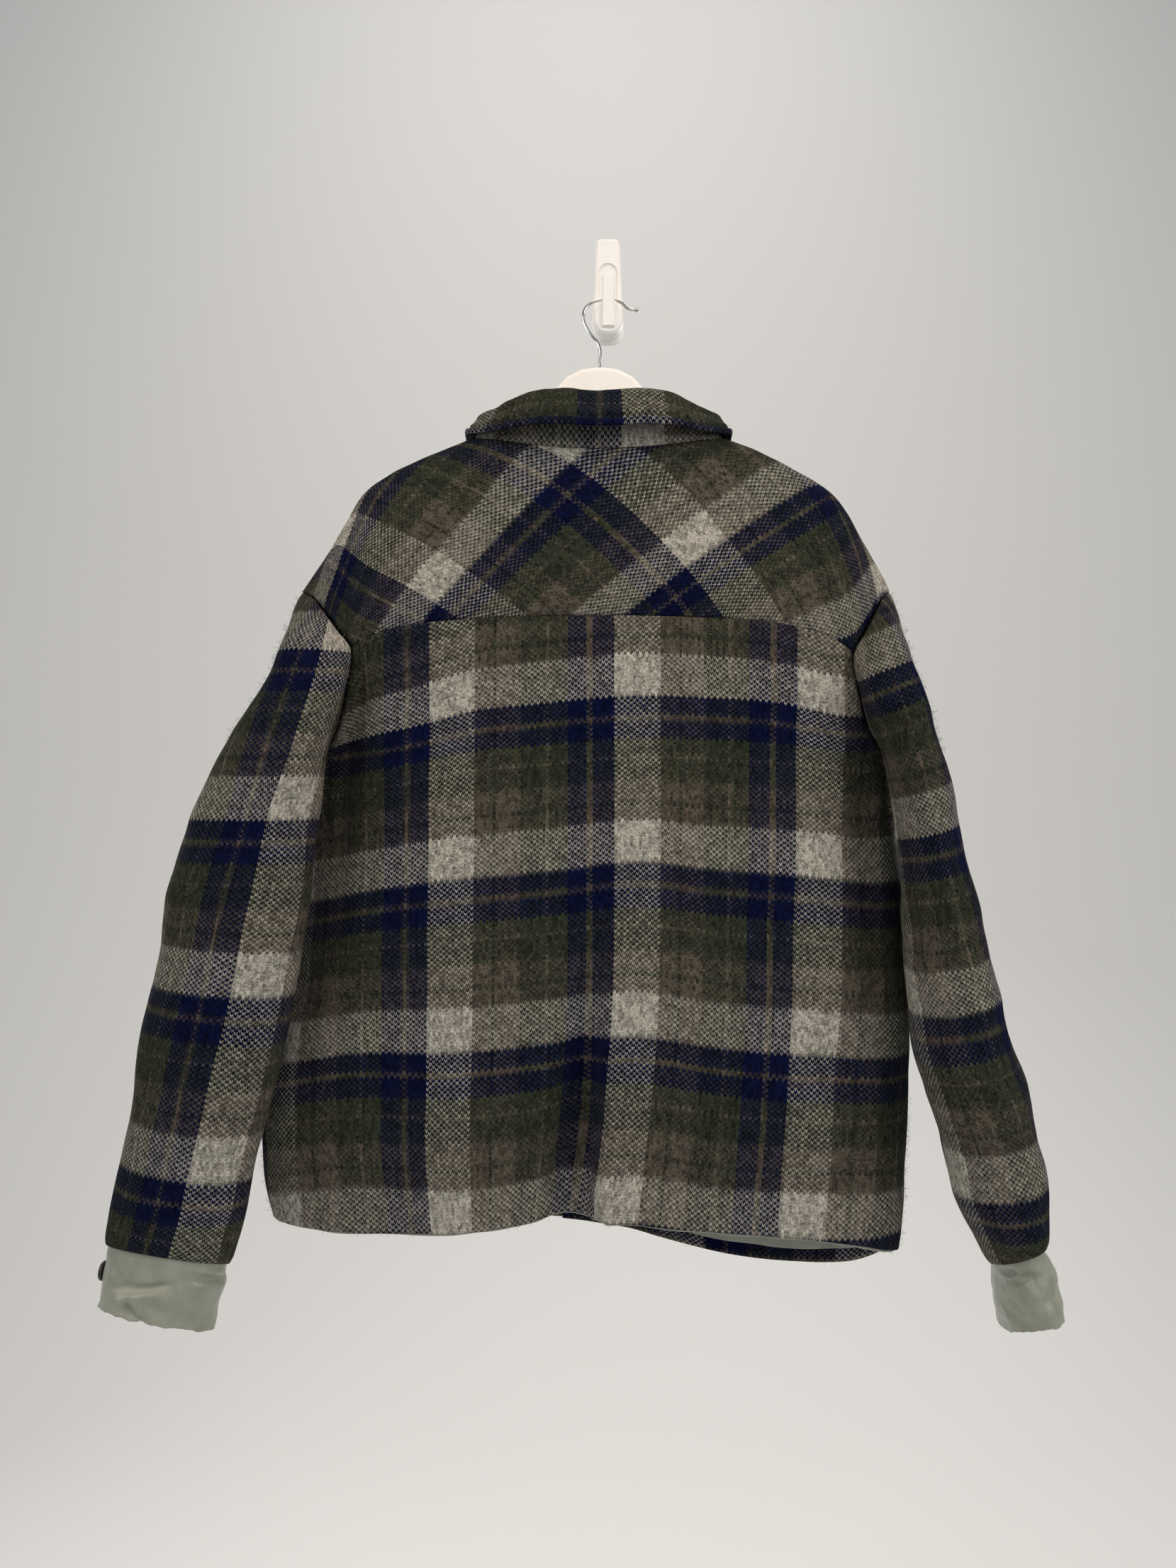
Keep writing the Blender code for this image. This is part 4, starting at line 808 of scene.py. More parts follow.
def creases(points, table):
    """Soft troughs and ridges along short lines seen from behind, fading towards their ends."""
    total = np.zeros(len(points))
    flat = points[:, (0, 2)]
    side, waves, phase = CREASE_WAVES
    for row in table:
        x0, z0, x1, z1, width, depth = (row[CREASE_COLUMNS.index(name)] for name in CREASE_COLUMNS)
        start, run = np.array((x0, z0)), np.array((x1 - x0, z1 - z0))
        share = (flat - start) @ run / (run @ run)
        away = np.linalg.norm(flat - start - np.clip(share, 0, 1)[:, None] * run, axis=1)
        away = away + side * width * np.sin(share * waves + x0 * phase)
        ends = [ease(np.clip(s + CREASE_PAST_END, 0, 1) / CREASE_FADE) for s in (share, 1 - share)]
        total -= depth * hump(away, width) * ends[0] * ends[1]
    return total


def nap_tree():
    """Loose fibres on a cloth's outer faces, bent and turned at random, with the cloth's weave map."""
    tree, given, result = new_tree("loose_nap", {
        "Outer faces": "Int", "Fibres per area": "Float", "Seed": "Int", "Shortest": "Float",
        "Longest": "Float", "Finish": "Material"})
    number = add(tree, "GeometryNodeInputIndex").outputs[0]
    outer = add(tree, "FunctionNodeCompare", {
        "A": number, "B": given["Outer faces"]}, data_type="INT", operation="LESS_THAN")
    roots = add(tree, "GeometryNodeDistributePointsOnFaces", {
        "Mesh": given["Geometry"], "Selection": outer.outputs["Result"], "Density": given["Fibres per area"],
        "Seed": given["Seed"]}).outputs
    bend = add(tree, "GeometryNodeCurveQuadraticBezier", {
        "Resolution": 2, "Start": FIBRE_BEND[0], "Middle": FIBRE_BEND[1], "End": FIBRE_BEND[2]})
    ring = add(tree, "GeometryNodeCurvePrimitiveCircle", {"Resolution": 3, "Radius": FIBRE_RADIUS})
    fibre = add(tree, "GeometryNodeCurveToMesh", {
        "Curve": bend.outputs["Curve"], "Profile Curve": ring.outputs["Curve"], "Fill Caps": True})
    length = add(tree, "FunctionNodeRandomValue", {
        "Min": given["Shortest"], "Max": given["Longest"], "Seed": given["Seed"]}, data_type="FLOAT")
    spin = add(tree, "FunctionNodeRandomValue", {
        "Min": (-FIBRE_LEAN, -FIBRE_LEAN, 0.0), "Max": (FIBRE_LEAN, FIBRE_LEAN, 2 * math.pi),
        "Seed": given["Seed"]}, data_type="FLOAT_VECTOR")
    turn = add(tree, "FunctionNodeRotateRotation", {
        "Rotation": roots["Rotation"], "Rotate By": spin.outputs["Value"]}, rotation_space="LOCAL")
    place = add(tree, "GeometryNodeInstanceOnPoints", {
        "Points": roots["Points"], "Instance": fibre.outputs["Mesh"], "Rotation": turn.outputs["Rotation"],
        "Scale": length.outputs["Value"]})
    real = add(tree, "GeometryNodeRealizeInstances", {"Geometry": place.outputs["Instances"]})
    held = add(tree, "GeometryNodeInputNamedAttribute", {"Name": "weave"}, data_type="FLOAT_VECTOR")
    kept = add(tree, "GeometryNodeStoreNamedAttribute", {
        "Geometry": real.outputs["Geometry"], "Name": "weave", "Value": held.outputs["Attribute"]},
        data_type="FLOAT2", domain="CORNER")
    return end_tree(tree, given, result, kept.outputs["Geometry"])


loose_nap = nap_tree()


def sew_in(piece, node, fibres=0.0, seed=0):
    """The frame calls of a cloth piece; a wool one also gets its loose nap, fibres to the square metre."""
    stand_for(piece, node)
    fluff = []
    if fibres:
        fluff.append(grow("nap_" + node, piece.data.copy(), loose_nap, {
            "Outer faces": len(piece.data.polygons) // 2, "Fibres per area": fibres, "Seed": seed,
            "Shortest": FIBRE_LENGTHS[0], "Longest": FIBRE_LENGTHS[1], "Finish": wool_nap}))
        stand_for(fluff[0], node)


# Back panel: cloth
# The panel hangs nearly flat, with one deep soft fold at the middle of the hem, shallow pulls from the
# armholes and small puckers under the yoke seam. Its check runs straight down, a little lower at both sides.
STRIPE_COLUMNS = ("z", "first", "second", "third")
BACK_STRIPES = (
    (-0.900, -0.1800, -0.0330, 0.1305),
    (-0.830, -0.1850, -0.0260, 0.1345),
    (-0.720, -0.1850, -0.0195, 0.1410),
    (-0.560, -0.1845, -0.0180, 0.1455),
    (-0.400, -0.1845, -0.0180, 0.1480),
)
BAND_COLUMNS = ("x", "lowest", "middle", "highest")
BACK_BANDS = (
    (-0.300, -0.7790, -0.6260, -0.4700),
    (-0.215, -0.7560, -0.6070, -0.4600),
    (-0.140, -0.7520, -0.5970, -0.4445),
    (-0.075, -0.7455, -0.5905, -0.4390),
    (-0.040, -0.7420, -0.5870, -0.4360),
    (0.020, -0.7360, -0.5800, -0.4320),
    (0.090, -0.7470, -0.5880, -0.4330),
    (0.170, -0.7590, -0.5960, -0.4370),
    (0.240, -0.7670, -0.6050, -0.4470),
)
HEM_CHECK = 0.1690
SIDE_CHECKS = (0.1760, 0.1900)
BACK_CREASES = (
    (-0.050, -0.990, -0.022, -0.690, 0.014, 0.0110),
    (-0.010, -0.990, 0.004, -0.640, 0.012, -0.0045),
    (-0.232, -0.375, -0.262, -0.560, 0.018, 0.0080),
    (-0.252, -0.520, -0.302, -0.720, 0.020, 0.0070),
    (-0.205, -0.372, -0.150, -0.470, 0.018, 0.0024),
    (0.212, -0.380, 0.150, -0.480, 0.020, 0.0028),
    (0.235, -0.470, 0.250, -0.660, 0.016, 0.0030),
    (-0.020, -0.700, -0.006, -0.500, 0.012, 0.0030),
    (0.060, -0.640, 0.110, -0.860, 0.030, -0.0028),
    (-0.120, -0.620, -0.160, -0.880, 0.034, -0.0026),
    (0.200, -0.700, 0.215, -0.900, 0.022, 0.0030),
    (-0.260, -0.740, -0.262, -0.890, 0.020, 0.0026),
)
BACK_RIPPLES = ((0.0022, 0.085, 3.1), (0.0007, 0.026, 7.3))
PUCKERS = ((0.0011, 0.017, 1.9),)
PUCKER_STRETCH = np.array((1.0, 1.0, 0.35))
PUCKER_REACH = 0.035
SEAM_DIP = 0.0016
SEAM_WIDTH = 0.0045
BACK_EDGE = 0.020
BACK_HEM_FREE = 0.10
BACK_HEM_LIFT = 0.8
BACK_HEM_FACING = 0.75
BACK_LIFTS = (-0.012, 0.006)
WOOL_FIBRES = 34000.0


def anchored(run, at, numbers, before, after):
    """Check place along a line: given numbers at given runs, and an even spacing before and after them."""
    place = np.interp(run, at, numbers)
    place = np.where(run < at[0], numbers[0] + (run - at[0]) / before, place)
    return np.where(run > at[-1], numbers[-1] + (run - at[-1]) / after, place)


def back_weave(grid):
    """Weave map of the back, in metres, from where the navy stripes and bands lie."""
    weave = np.zeros((*grid.shape[:2], 2))
    across, up = lengths(grid, 1), lengths(grid, 0)
    for r, line in enumerate(grid):
        xs = [read(BACK_STRIPES, STRIPE_COLUMNS, "z", line[:, 2].mean(), n) for n in STRIPE_COLUMNS[1:]]
        at = np.interp(xs, line[:, 0], across[r])
        weave[r, :, 0] = anchored(across[r], at, range(len(at)), *SIDE_CHECKS)
    for c, line in enumerate(grid.transpose(1, 0, 2)):
        zs = [read(BACK_BANDS, BAND_COLUMNS, "x", line[:, 0].mean(), n) for n in BAND_COLUMNS[1:]]
        at = np.interp(zs, line[:, 2], up[:, c])
        weave[:, c, 1] = anchored(up[:, c], at, range(len(at)), HEM_CHECK, CHECK_ALONG)
    return (weave + NAVY_MIDDLE) * np.array((CHECK_ACROSS, CHECK_ALONG))


back_run, back_across = both_runs(back_net)
panel_rows = lines(0.0, back_run[SEAM_ROW], MESH_STEP)
back_at = lines(0.0, back_across[-1], MESH_STEP)
panel = surface(back_net, panel_rows, back_at, back_run, back_across)
panel_weave = back_weave(panel)
quads, places, points, facing = lay(panel, panel_weave)
seam_gap = np.repeat(back_run[SEAM_ROW] - panel_rows, panel.shape[1])
lift = creases(points, BACK_CREASES) + ripples(points, BACK_RIPPLES)
lift += ripples(points * PUCKER_STRETCH, PUCKERS) * hump(seam_gap, PUCKER_REACH)
lift -= SEAM_DIP * hump(seam_gap, SEAM_WIDTH)
hem_free = ease(seam_gap / BACK_HEM_FREE) * (np.abs(facing[:, 1]) > BACK_HEM_FACING)
lift *= np.maximum(ease(edge_gap(points, quads) / BACK_EDGE), BACK_HEM_LIFT * hem_free)
lift = np.clip(lift, *BACK_LIFTS)
body_lift = {"back_panel": (lift.reshape(panel.shape[:2]), panel_rows, back_at)}
points = points + facing * lift[:, None]
piece = make_shell("back_panel_cloth", points, quads, places, WOOL, (wool, satin))
sew_in(piece, "back_panel", WOOL_FIBRES, 1)

# Back yoke: cloth
# The yoke lies on the hanger's arms, so its check runs at 45 degrees across the shoulders. It is smooth on
# top, and dips a little along its seams, where the layers are sewn down.
BIAS_REACH = (0.25, 0.15)
BIAS_CALM = 0.02
CROSSING_COLUMNS = ("across", "up", "warp_check", "weft_check")
CROSSINGS = (
    (-0.262, 0.095, 0.380, 2.126), (-0.245, 0.060, 0.126, 2.126), (-0.233, 0.119, 0.505, 2.000),
    (-0.149, 0.012, 0.255, 1.255), (-0.148, 0.000, 0.126, 1.126), (-0.119, 0.156, 1.000, 1.720),
    (-0.029, 0.158, 1.380, 1.380), (-0.024, 0.093, 1.000, 1.000), (0.072, 0.017, 1.126, 0.126),
    (0.090, 0.103, 1.505, 0.505), (0.099, 0.018, 1.255, 0.000), (0.115, 0.081, 1.505, 0.255),
    (0.186, 0.182, 2.000, 0.505), (0.253, 0.138, 2.126, 0.126),
)
YOKE_RIPPLES = ((0.0012, 0.070, 5.2), (0.0005, 0.022, 2.2))
YOKE_EDGE = 0.015
NECK_STRIP = 0.03
SAME = 1e-9


def bias_terms(across, up):
    """Terms of a gently bent plane, by the run across the yoke and the run up from its seam."""
    s, t = across / BIAS_REACH[0], up / BIAS_REACH[1]
    return np.stack((np.ones_like(s), s, t, s * s, s * t, t * t), axis=-1)


def yoke_weave(across, up):
    """Weave map of the yoke, on the bias: gently bent planes through the places where the check crosses."""
    run, rise, warp, weft = (column(CROSSINGS, CROSSING_COLUMNS, name) for name in CROSSING_COLUMNS)
    terms = bias_terms(run, rise)
    calm = BIAS_CALM * np.diag((0.0, 0.0, 0.0, 1.0, 1.0, 1.0))
    bend = np.linalg.solve(terms.T @ terms + calm, terms.T @ np.stack((warp, weft), axis=1))
    return bias_terms(across, up) @ bend * np.array((CHECK_ACROSS, CHECK_ALONG))


neck_at = (back_across[NECK_COLUMN], back_across[-1 - NECK_COLUMN])
shoulders = (
    ("left", slice(None, NECK_COLUMN + 1), 1, np.flatnonzero(back_at <= neck_at[0] + SAME)),
    ("right", slice(-1 - NECK_COLUMN, None), -1, np.flatnonzero(back_at >= neck_at[1] - SAME)),
)
yoke_rows = lines(back_run[SEAM_ROW], back_run[-1], MESH_STEP, True, False)
flap_run = runs(np.concatenate((flap_net["left"], flap_net["right"]), axis=1)[::-1])
over_run = np.concatenate((back_run[SEAM_ROW:], back_run[-1] + flap_run[1:]))
flap_rows = lines(back_run[-1], over_run[-1], MESH_STEP, False, True)[1:]
over_net = {}
for side, strip, way, cols in shoulders:
    over_net[side] = np.concatenate((back_net[SEAM_ROW:, strip], flap_net[side][-2::-1, ::way]))
middle_net = back_net[SEAM_ROW:, NECK_COLUMN + 1:-1 - NECK_COLUMN]
upper = np.concatenate((
    along(over_net["left"], over_run, yoke_rows), along(middle_net, back_run[SEAM_ROW:], yoke_rows),
    along(over_net["right"], over_run, yoke_rows)), axis=1)
upper = along(upper.transpose(1, 0, 2), back_across, back_at).transpose(1, 0, 2)
upper_ids = np.arange(upper.shape[0] * upper.shape[1]).reshape(upper.shape[:2])
across = lengths(upper, 1)
across = across - across[:, [np.argmin(np.abs(back_at - back_across[len(back_columns) // 2]))]]
up = lengths(upper, 0)
parts = [patch(upper_ids, yoke_weave(across, up), False)]
points = upper.reshape(-1, 3)
for side, strip, way, cols in shoulders:
    flap = surface(over_net[side], flap_rows, back_at[cols], over_run, back_across[strip])
    ids = len(points) + np.arange(flap.shape[0] * flap.shape[1]).reshape(flap.shape[:2])
    over = lengths(np.concatenate((upper[-1:, cols], flap)), 0)
    weave = yoke_weave(across[-1:, cols] + 0.0 * over, up[-1:, cols] + over)
    parts.append(patch(np.concatenate((upper_ids[-1:, cols], ids)), weave, False))
    points = np.concatenate((points, flap.reshape(-1, 3)))
quads, places = (np.concatenate(part) for part in zip(*parts))
facing = normals_of(points, quads)
gap = edge_gap(points, quads)
sewn = np.zeros(len(points), dtype=bool)
sewn[:upper_ids.size] = np.repeat(yoke_rows < back_run[-1] - NECK_STRIP, upper.shape[1])
lift = ripples(points, YOKE_RIPPLES) * ease(gap / YOKE_EDGE) - SEAM_DIP * hump(gap, SEAM_WIDTH) * sewn
points = points + facing * lift[:, None]
piece = make_shell("back_yoke_cloth", points, quads, places, WOOL, (wool, satin))
sew_in(piece, "back_yoke", WOOL_FIBRES, 2)

# Fronts
# Two plain wool fronts, the left lapped over the right, hang against the wall from the yoke's front seams.
# They are hidden in the photograph, and their check meets the back's at the side seams.
FRONT_CREASES = (
    (-0.215, -0.390, -0.120, -0.520, 0.022, 0.0020),
    (0.200, -0.390, 0.120, -0.500, 0.022, 0.0020),
    (-0.150, -0.600, -0.190, -0.880, 0.030, 0.0022),
    (0.130, -0.620, 0.180, -0.900, 0.030, 0.0022),
    (-0.090, -0.300, -0.130, -0.450, 0.024, 0.0016),
    (0.080, -0.290, 0.120, -0.450, 0.024, 0.0016),
)
FRONT_RIPPLE = (0.0014, 0.090)
FRONT_SEED = {"left": 3.4, "right": 5.4}
FRONT_EDGE = 0.030
FRONT_LIFTS = (-0.004, 0.002)
LAP_STILL = 0.035
LAP_EASE = 0.050
FRONT_TURNED_IN = 0.016
FRONT_FIBRES = 9000.0
for side, edge, sign in (("left", 0, -1.0), ("right", -1, 1.0)):
    net = front_net[side]
    run, wide = both_runs(net)
    rows, cols = lines(0.0, run[-1], MESH_STEP), lines(0.0, wide[-1], MESH_STEP)
    grid = surface(net, rows, cols, run, wide)
    u = panel_weave[len(panel_rows) // 2, edge, 0] + sign * cols
    v = np.interp(rows, panel_rows, panel_weave[:, edge, 1]) + np.maximum(rows - panel_rows[-1], 0.0)
    quads, places, points, facing = lay(grid, np.stack(np.meshgrid(u, v), axis=2), side == "left")
    lift = creases(points, FRONT_CREASES) + ripples(points, ((*FRONT_RIPPLE, FRONT_SEED[side]),))
    lift = np.clip(lift * ease(edge_gap(points, quads) / FRONT_EDGE), *FRONT_LIFTS)
    from_lap = np.abs(points[:, 0] - (CENTRE_X_NECK + CENTRE_X_HEM) / 2)
    lift = lift * ease((from_lap - LAP_STILL) / LAP_EASE)
    body_lift["front_" + side] = (lift.reshape(grid.shape[:2]), rows, cols)
    points = points + facing * lift[:, None]
    piece = make_shell("front_%s_cloth" % side, points, quads, places, WOOL, (wool, satin), FRONT_TURNED_IN)
    sew_in(piece, "front_" + side, FRONT_FIBRES, 3)

# Sleeves
# Two plain wool tubes set low on the shoulder; the seam lies under the yoke's edge, and each sleeve hangs
# free and half flat. The side that shows is softly uneven, and the cloth dips along the seam and the hem.
SLEEVE_COLUMNS = ("outer_x", "outer_z", "inner_x", "inner_z", "y", "back", "front")
SLEEVES = {
    "left": (
        (-0.3144, -0.402, -0.2590, -0.500, -0.108, 0.0440, 0.0300),
        (-0.3499, -0.462, -0.2640, -0.539, -0.111, 0.0460, 0.0360),
        (-0.3791, -0.525, -0.2690, -0.584, -0.112, 0.0475, 0.0420),
        (-0.3976, -0.582, -0.2760, -0.625, -0.112, 0.0480, 0.0460),
        (-0.4059, -0.635, -0.2833, -0.668, -0.112, 0.0475, 0.0475),
        (-0.4160, -0.686, -0.2915, -0.712, -0.111, 0.0465, 0.0465),
        (-0.4282, -0.735, -0.3005, -0.755, -0.110, 0.0450, 0.0450),
        (-0.4361, -0.790, -0.3137, -0.802, -0.107, 0.0430, 0.0430),
        (-0.4460, -0.837, -0.3259, -0.847, -0.104, 0.0410, 0.0410),
        (-0.4551, -0.880, -0.3347, -0.893, -0.101, 0.0390, 0.0390),
        (-0.4625, -0.914, -0.3480, -0.934, -0.098, 0.0370, 0.0370),
    ),
    "right": (
        (0.2797, -0.394, 0.2539, -0.500, -0.104, 0.0460, 0.0320),
        (0.2961, -0.451, 0.2590, -0.536, -0.107, 0.0490, 0.0380),
        (0.3091, -0.505, 0.2647, -0.578, -0.108, 0.0510, 0.0440),
        (0.3226, -0.559, 0.2681, -0.619, -0.108, 0.0520, 0.0490),
        (0.3357, -0.615, 0.2703, -0.658, -0.108, 0.0530, 0.0530),
        (0.3478, -0.668, 0.2750, -0.701, -0.107, 0.0530, 0.0530),
        (0.3618, -0.718, 0.2794, -0.740, -0.105, 0.0530, 0.0530),
        (0.3778, -0.765, 0.2908, -0.775, -0.102, 0.0525, 0.0525),
        (0.3893, -0.808, 0.3045, -0.811, -0.098, 0.0515, 0.0515),
        (0.3978, -0.851, 0.3143, -0.851, -0.094, 0.0500, 0.0500),
        (0.4044, -0.887, 0.3252, -0.885, -0.090, 0.0480, 0.0480),
        (0.4017, -0.920, 0.3530, -0.939, -0.086, 0.0460, 0.0460),
    ),
}
SLEEVE_SQUARENESS = 2.1
SWELL_AT = 0.35
SWELL = 0.010
SWELL_TOP = 0.35
SWELL_FROM = 0.45
SWELL_TO = 0.85
UNDERARM_TUCK = 0.7
UNDERARM_ANGLE = math.radians(214.0)
UNDERARM_START = 0.86
UNDERARM_END = (0.75, 0.30)
UNDERARM_SHARES = (1.0, 1.0, 0.6, 0.25)
UNDERARM_OUT = {"left": -0.020, "right": 0.020}


def armhole_loop(side):
    """Points round an armhole: shoulder, down the back, underarm, up the front; and the underarm's number."""
    edge = 0 if side == "left" else -1
    back = [row[edge] for row in back_net[BODY_ROWS:]][::-1]
    front = [row[0] for row in front_net[side][BODY_ROWS + 1:]]
    over = [row[0] for row in flap_net[side][1:-1]]
    return np.array(back + front + over), len(back) - 1


def loop_angles(loop, underarm):
    """Angle of each loop point round the sleeve, 0 at the shoulder."""
    run = runs(np.concatenate((loop, loop[:1]))[:, None, :])
    low = run[underarm]
    rest = (2 * math.pi - UNDERARM_ANGLE) / (run[-1] - low)
    return np.where(run <= low, UNDERARM_ANGLE * run / low, UNDERARM_ANGLE + rest * (run - low))[:-1]


def section_ring(row, angles, shrink):
    """Points of a sleeve or cuff section at the given angles, drawn in by a distance."""
    size = dict(zip(SLEEVE_COLUMNS, row))
    outer = np.array((size["outer_x"], size["y"], size["outer_z"]))
    inner = np.array((size["inner_x"], size["y"], size["inner_z"]))
    reach = (outer - inner) / 2
    reach = reach * (1 - shrink / np.linalg.norm(reach))
    power = 2.0 / SLEEVE_SQUARENESS
    cos = np.copysign(np.abs(np.cos(angles)) ** power, np.cos(angles))
    sin = np.copysign(np.abs(np.sin(angles)) ** power, np.sin(angles))
    depth = np.where(sin > 0, size["back"], size["front"]) - shrink
    ring = (outer + inner) / 2 + reach * cos[:, None]
    ring[:, 1] -= depth * sin
    return ring


def sleeve_net(side, loop, angles):
    """Rings of a sleeve from the armhole seam to its hem."""
    table = SLEEVES[side]
    first = section_ring(table[0], angles, 0.0)
    middle = loop.mean(axis=0)
    axis = unit(first.mean(axis=0) - middle)
    near = np.minimum(angles / UNDERARM_ANGLE, (2 * math.pi - angles) / (2 * math.pi - UNDERARM_ANGLE))
    base = loop + (first - loop) * SWELL_AT
    out = base - middle - axis * ((base - middle) @ axis)[:, None]
    low = ease((near - SWELL_FROM) / (SWELL_TO - SWELL_FROM))
    full = ease(near / SWELL_TOP) - (1 + UNDERARM_TUCK) * low
    rings = [base + unit(out) * (SWELL * full)[:, None]] + [section_ring(row, angles, 0.0) for row in table]
    start = ease((near - UNDERARM_START) / (1 - UNDERARM_START))
    end = 1 - ease((UNDERARM_END[0] - near) / (UNDERARM_END[0] - UNDERARM_END[1]))
    aside = np.where(angles < UNDERARM_ANGLE, start, end) * UNDERARM_OUT[side]
    for ring, share in zip(rings, UNDERARM_SHARES):
        ring[:, 0] += share * aside
    return np.array([loop] + rings)


WRAP = 3


def round_surface(net, rows_at, count):
    """Fine surface through closed rings of points: rows at runs, a number of points round."""
    fine = along(net, runs(net), rows_at)
    wrap = np.concatenate((fine[:, -WRAP:], fine, fine[:, :WRAP + 1]), axis=1).transpose(1, 0, 2)
    run = runs(wrap)
    at = np.linspace(run[WRAP], run[-1 - WRAP], count + 1)
    return along(wrap, run, at).transpose(1, 0, 2)


SLEEVE_WAY = {"left": 1.0, "right": -1.0}
SLEEVE_ROUND = 96
SLEEVE_SPREAD = {"left": (1.15, 0.80), "right": (1.00, 1.00)}
HEAD_IN = 0.030
HEAD_START = -0.600
HEAD_FULL = -0.510
HEM_TILT = 0.30
HEM_TILT_TOP = -0.850
HEM_TILT_FULL = -0.925
SLEEVE_BAND_COLUMNS = ("x", "z", "slope")
SLEEVE_BANDS = {
    "left": (
        (-0.383, -0.863, -0.15), (-0.345, -0.696, -0.10), (-0.316, -0.543, 0.00), (-0.274, -0.390, 0.00),
    ),
    "right": (
        (0.356, -0.883, 0.17), (0.312, -0.712, 0.21), (0.280, -0.556, 0.23), (0.248, -0.409, 0.40),
    ),
}
SLEEVE_STRIPE_COLUMNS = ("z", "place")
SLEEVE_STRIPES = {
    "left": ((-0.86, 0.0302), (-0.61, 0.0236), (-0.49, 0.0230)),
    "right": ((-0.84, 0.1227), (-0.72, 0.1300), (-0.62, 0.1400), (-0.50, 0.1460)),
}
SLEEVE_SEEN = (-0.20, 0.70)
SLEEVE_STRETCH = np.array((0.8, 1.0, 1.3))
SLEEVE_RIPPLE = ((1.0, 0.060, 7.1),)
RIPPLE_ALL_ROUND = 0.0007
RIPPLE_SEEN = 0.0016
SLEEVE_FINE = ((0.0006, 0.022, 8.8),)
SLEEVE_EDGE = 0.030
SLEEVE_DIP = 0.0015
SLEEVE_LIFTS = (-0.005, 0.003)
UNDERARM_REACH = 0.055
UNDERARM_THIN = 0.65
SLEEVE_TURNED_IN = 0.050


def lift_hem(points):
    """Sleeve or cuff rings whose back half rises towards the hem, as on a limp sleeve hanging half flat."""
    depth = points[..., 1]
    middle = (depth.max(axis=-1, keepdims=True) + depth.min(axis=-1, keepdims=True)) / 2
    low = ease((HEM_TILT_TOP - points[..., 2]) / (HEM_TILT_TOP - HEM_TILT_FULL))
    lifted = points.copy()
    lifted[..., 2] += HEM_TILT * low * np.maximum(middle - depth, 0.0)
    return lifted


def sleeve_weave(grid, side, shoulder):
    """Weave map of a sleeve, two checks round it. Level bands lie at the navy ones' heights and slopes.
    Stripes lie by the run round from the middle back, and over the head by the turn about a line that
    leaves at the shoulder."""
    x, z, slope = (column(SLEEVE_BANDS[side], SLEEVE_BAND_COLUMNS, name) for name in SLEEVE_BAND_COLUMNS)
    height = grid[..., 2]
    level = height - np.interp(height, z, slope) * (grid[..., 0] - np.interp(height, z, x))
    v = (anchored(level, z, np.arange(len(z)), CHECK_ALONG, CHECK_ALONG) + NAVY_MIDDLE) * CHECK_ALONG
    middle = np.argmin(grid[len(grid) // 2, :, 1])
    around = lengths(grid, 1)
    around = (around - around[:, middle:middle + 1]) * SLEEVE_WAY[side]
    half = np.where(around < 0, -around.min(axis=1, keepdims=True), around.max(axis=1, keepdims=True))
    start = np.where(around < 0, *SLEEVE_SPREAD[side])
    share = np.abs(around) / half
    low = np.sign(around) * (start * half * share + (CHECK_ACROSS - start * half) * share * share)
    line = grid[:, :-1].mean(axis=1)[::-1]
    line = np.concatenate((line[line[:, 2] < HEAD_FULL], [shoulder]))
    centre = [np.interp(height, line[:, 2], line[:, k]) for k in (0, 1)]
    turn = np.arctan2(grid[..., 0] - centre[0], centre[1] - grid[..., 1])
    before, after = np.unwrap(turn[:, middle::-1], axis=1), np.unwrap(turn[:, middle:], axis=1)
    turn = np.concatenate((before[:, :0:-1], after), axis=1)
    turn = turn - turn[np.argmin(np.abs(height[:, middle] - HEAD_FULL)), middle]
    head = ease((height - HEAD_START) / (HEAD_FULL - HEAD_START))
    u = low * (1 - head) + turn * CHECK_ACROSS / math.pi * head
    table = SLEEVE_STRIPES[side]
    levels, places = (column(table, SLEEVE_STRIPE_COLUMNS, name) for name in SLEEVE_STRIPE_COLUMNS)
    return np.stack((u + np.interp(height, levels, places), v), axis=2)


def seen(facing, start, over):
    """How far a cloth faces away from the wall, from 0 to 1."""
    return ease((-facing[:, 1] - start) / over)


sleeve_angles = {}
for side in ("left", "right"):
    loop, underarm = armhole_loop(side)
    sleeve_angles[side] = loop_angles(loop, underarm)
    net = sleeve_net(side, loop, sleeve_angles[side])
    run = runs(net)
    grid = lift_hem(round_surface(net, lines(0.0, run[-1], MESH_STEP), SLEEVE_ROUND))
    front = np.argmax(grid[len(grid) // 2, :, 1])
    grid = grid[:, np.arange(front, front + SLEEVE_ROUND + 1) % SLEEVE_ROUND]
    shoulder = loop[0] + np.array((HEAD_IN * SLEEVE_WAY[side], 0.0, 0.0))
    quads, places, points, facing = lay(grid, sleeve_weave(grid, side, shoulder), side == "left", True)
    gap = edge_gap(points, quads)
    height = RIPPLE_ALL_ROUND + RIPPLE_SEEN * seen(facing, *SLEEVE_SEEN)
    lift = height * ripples(points * SLEEVE_STRETCH, SLEEVE_RIPPLE) + ripples(points, SLEEVE_FINE)
    lift = lift * ease(gap / SLEEVE_EDGE) - SLEEVE_DIP * hump(gap, SEAM_WIDTH)
    points = points + facing * np.clip(lift, *SLEEVE_LIFTS)[:, None]
    tight = ease(1.0 - np.linalg.norm(points - loop[underarm], axis=1) / UNDERARM_REACH)
    wall = WOOL * (1 - UNDERARM_THIN * tight)
    piece = make_shell("sleeve_%s_cloth" % side, points, quads, places, wall, (wool, satin), SLEEVE_TURNED_IN)
    sew_in(piece, "sleeve_" + side, WOOL_FIBRES, 5)

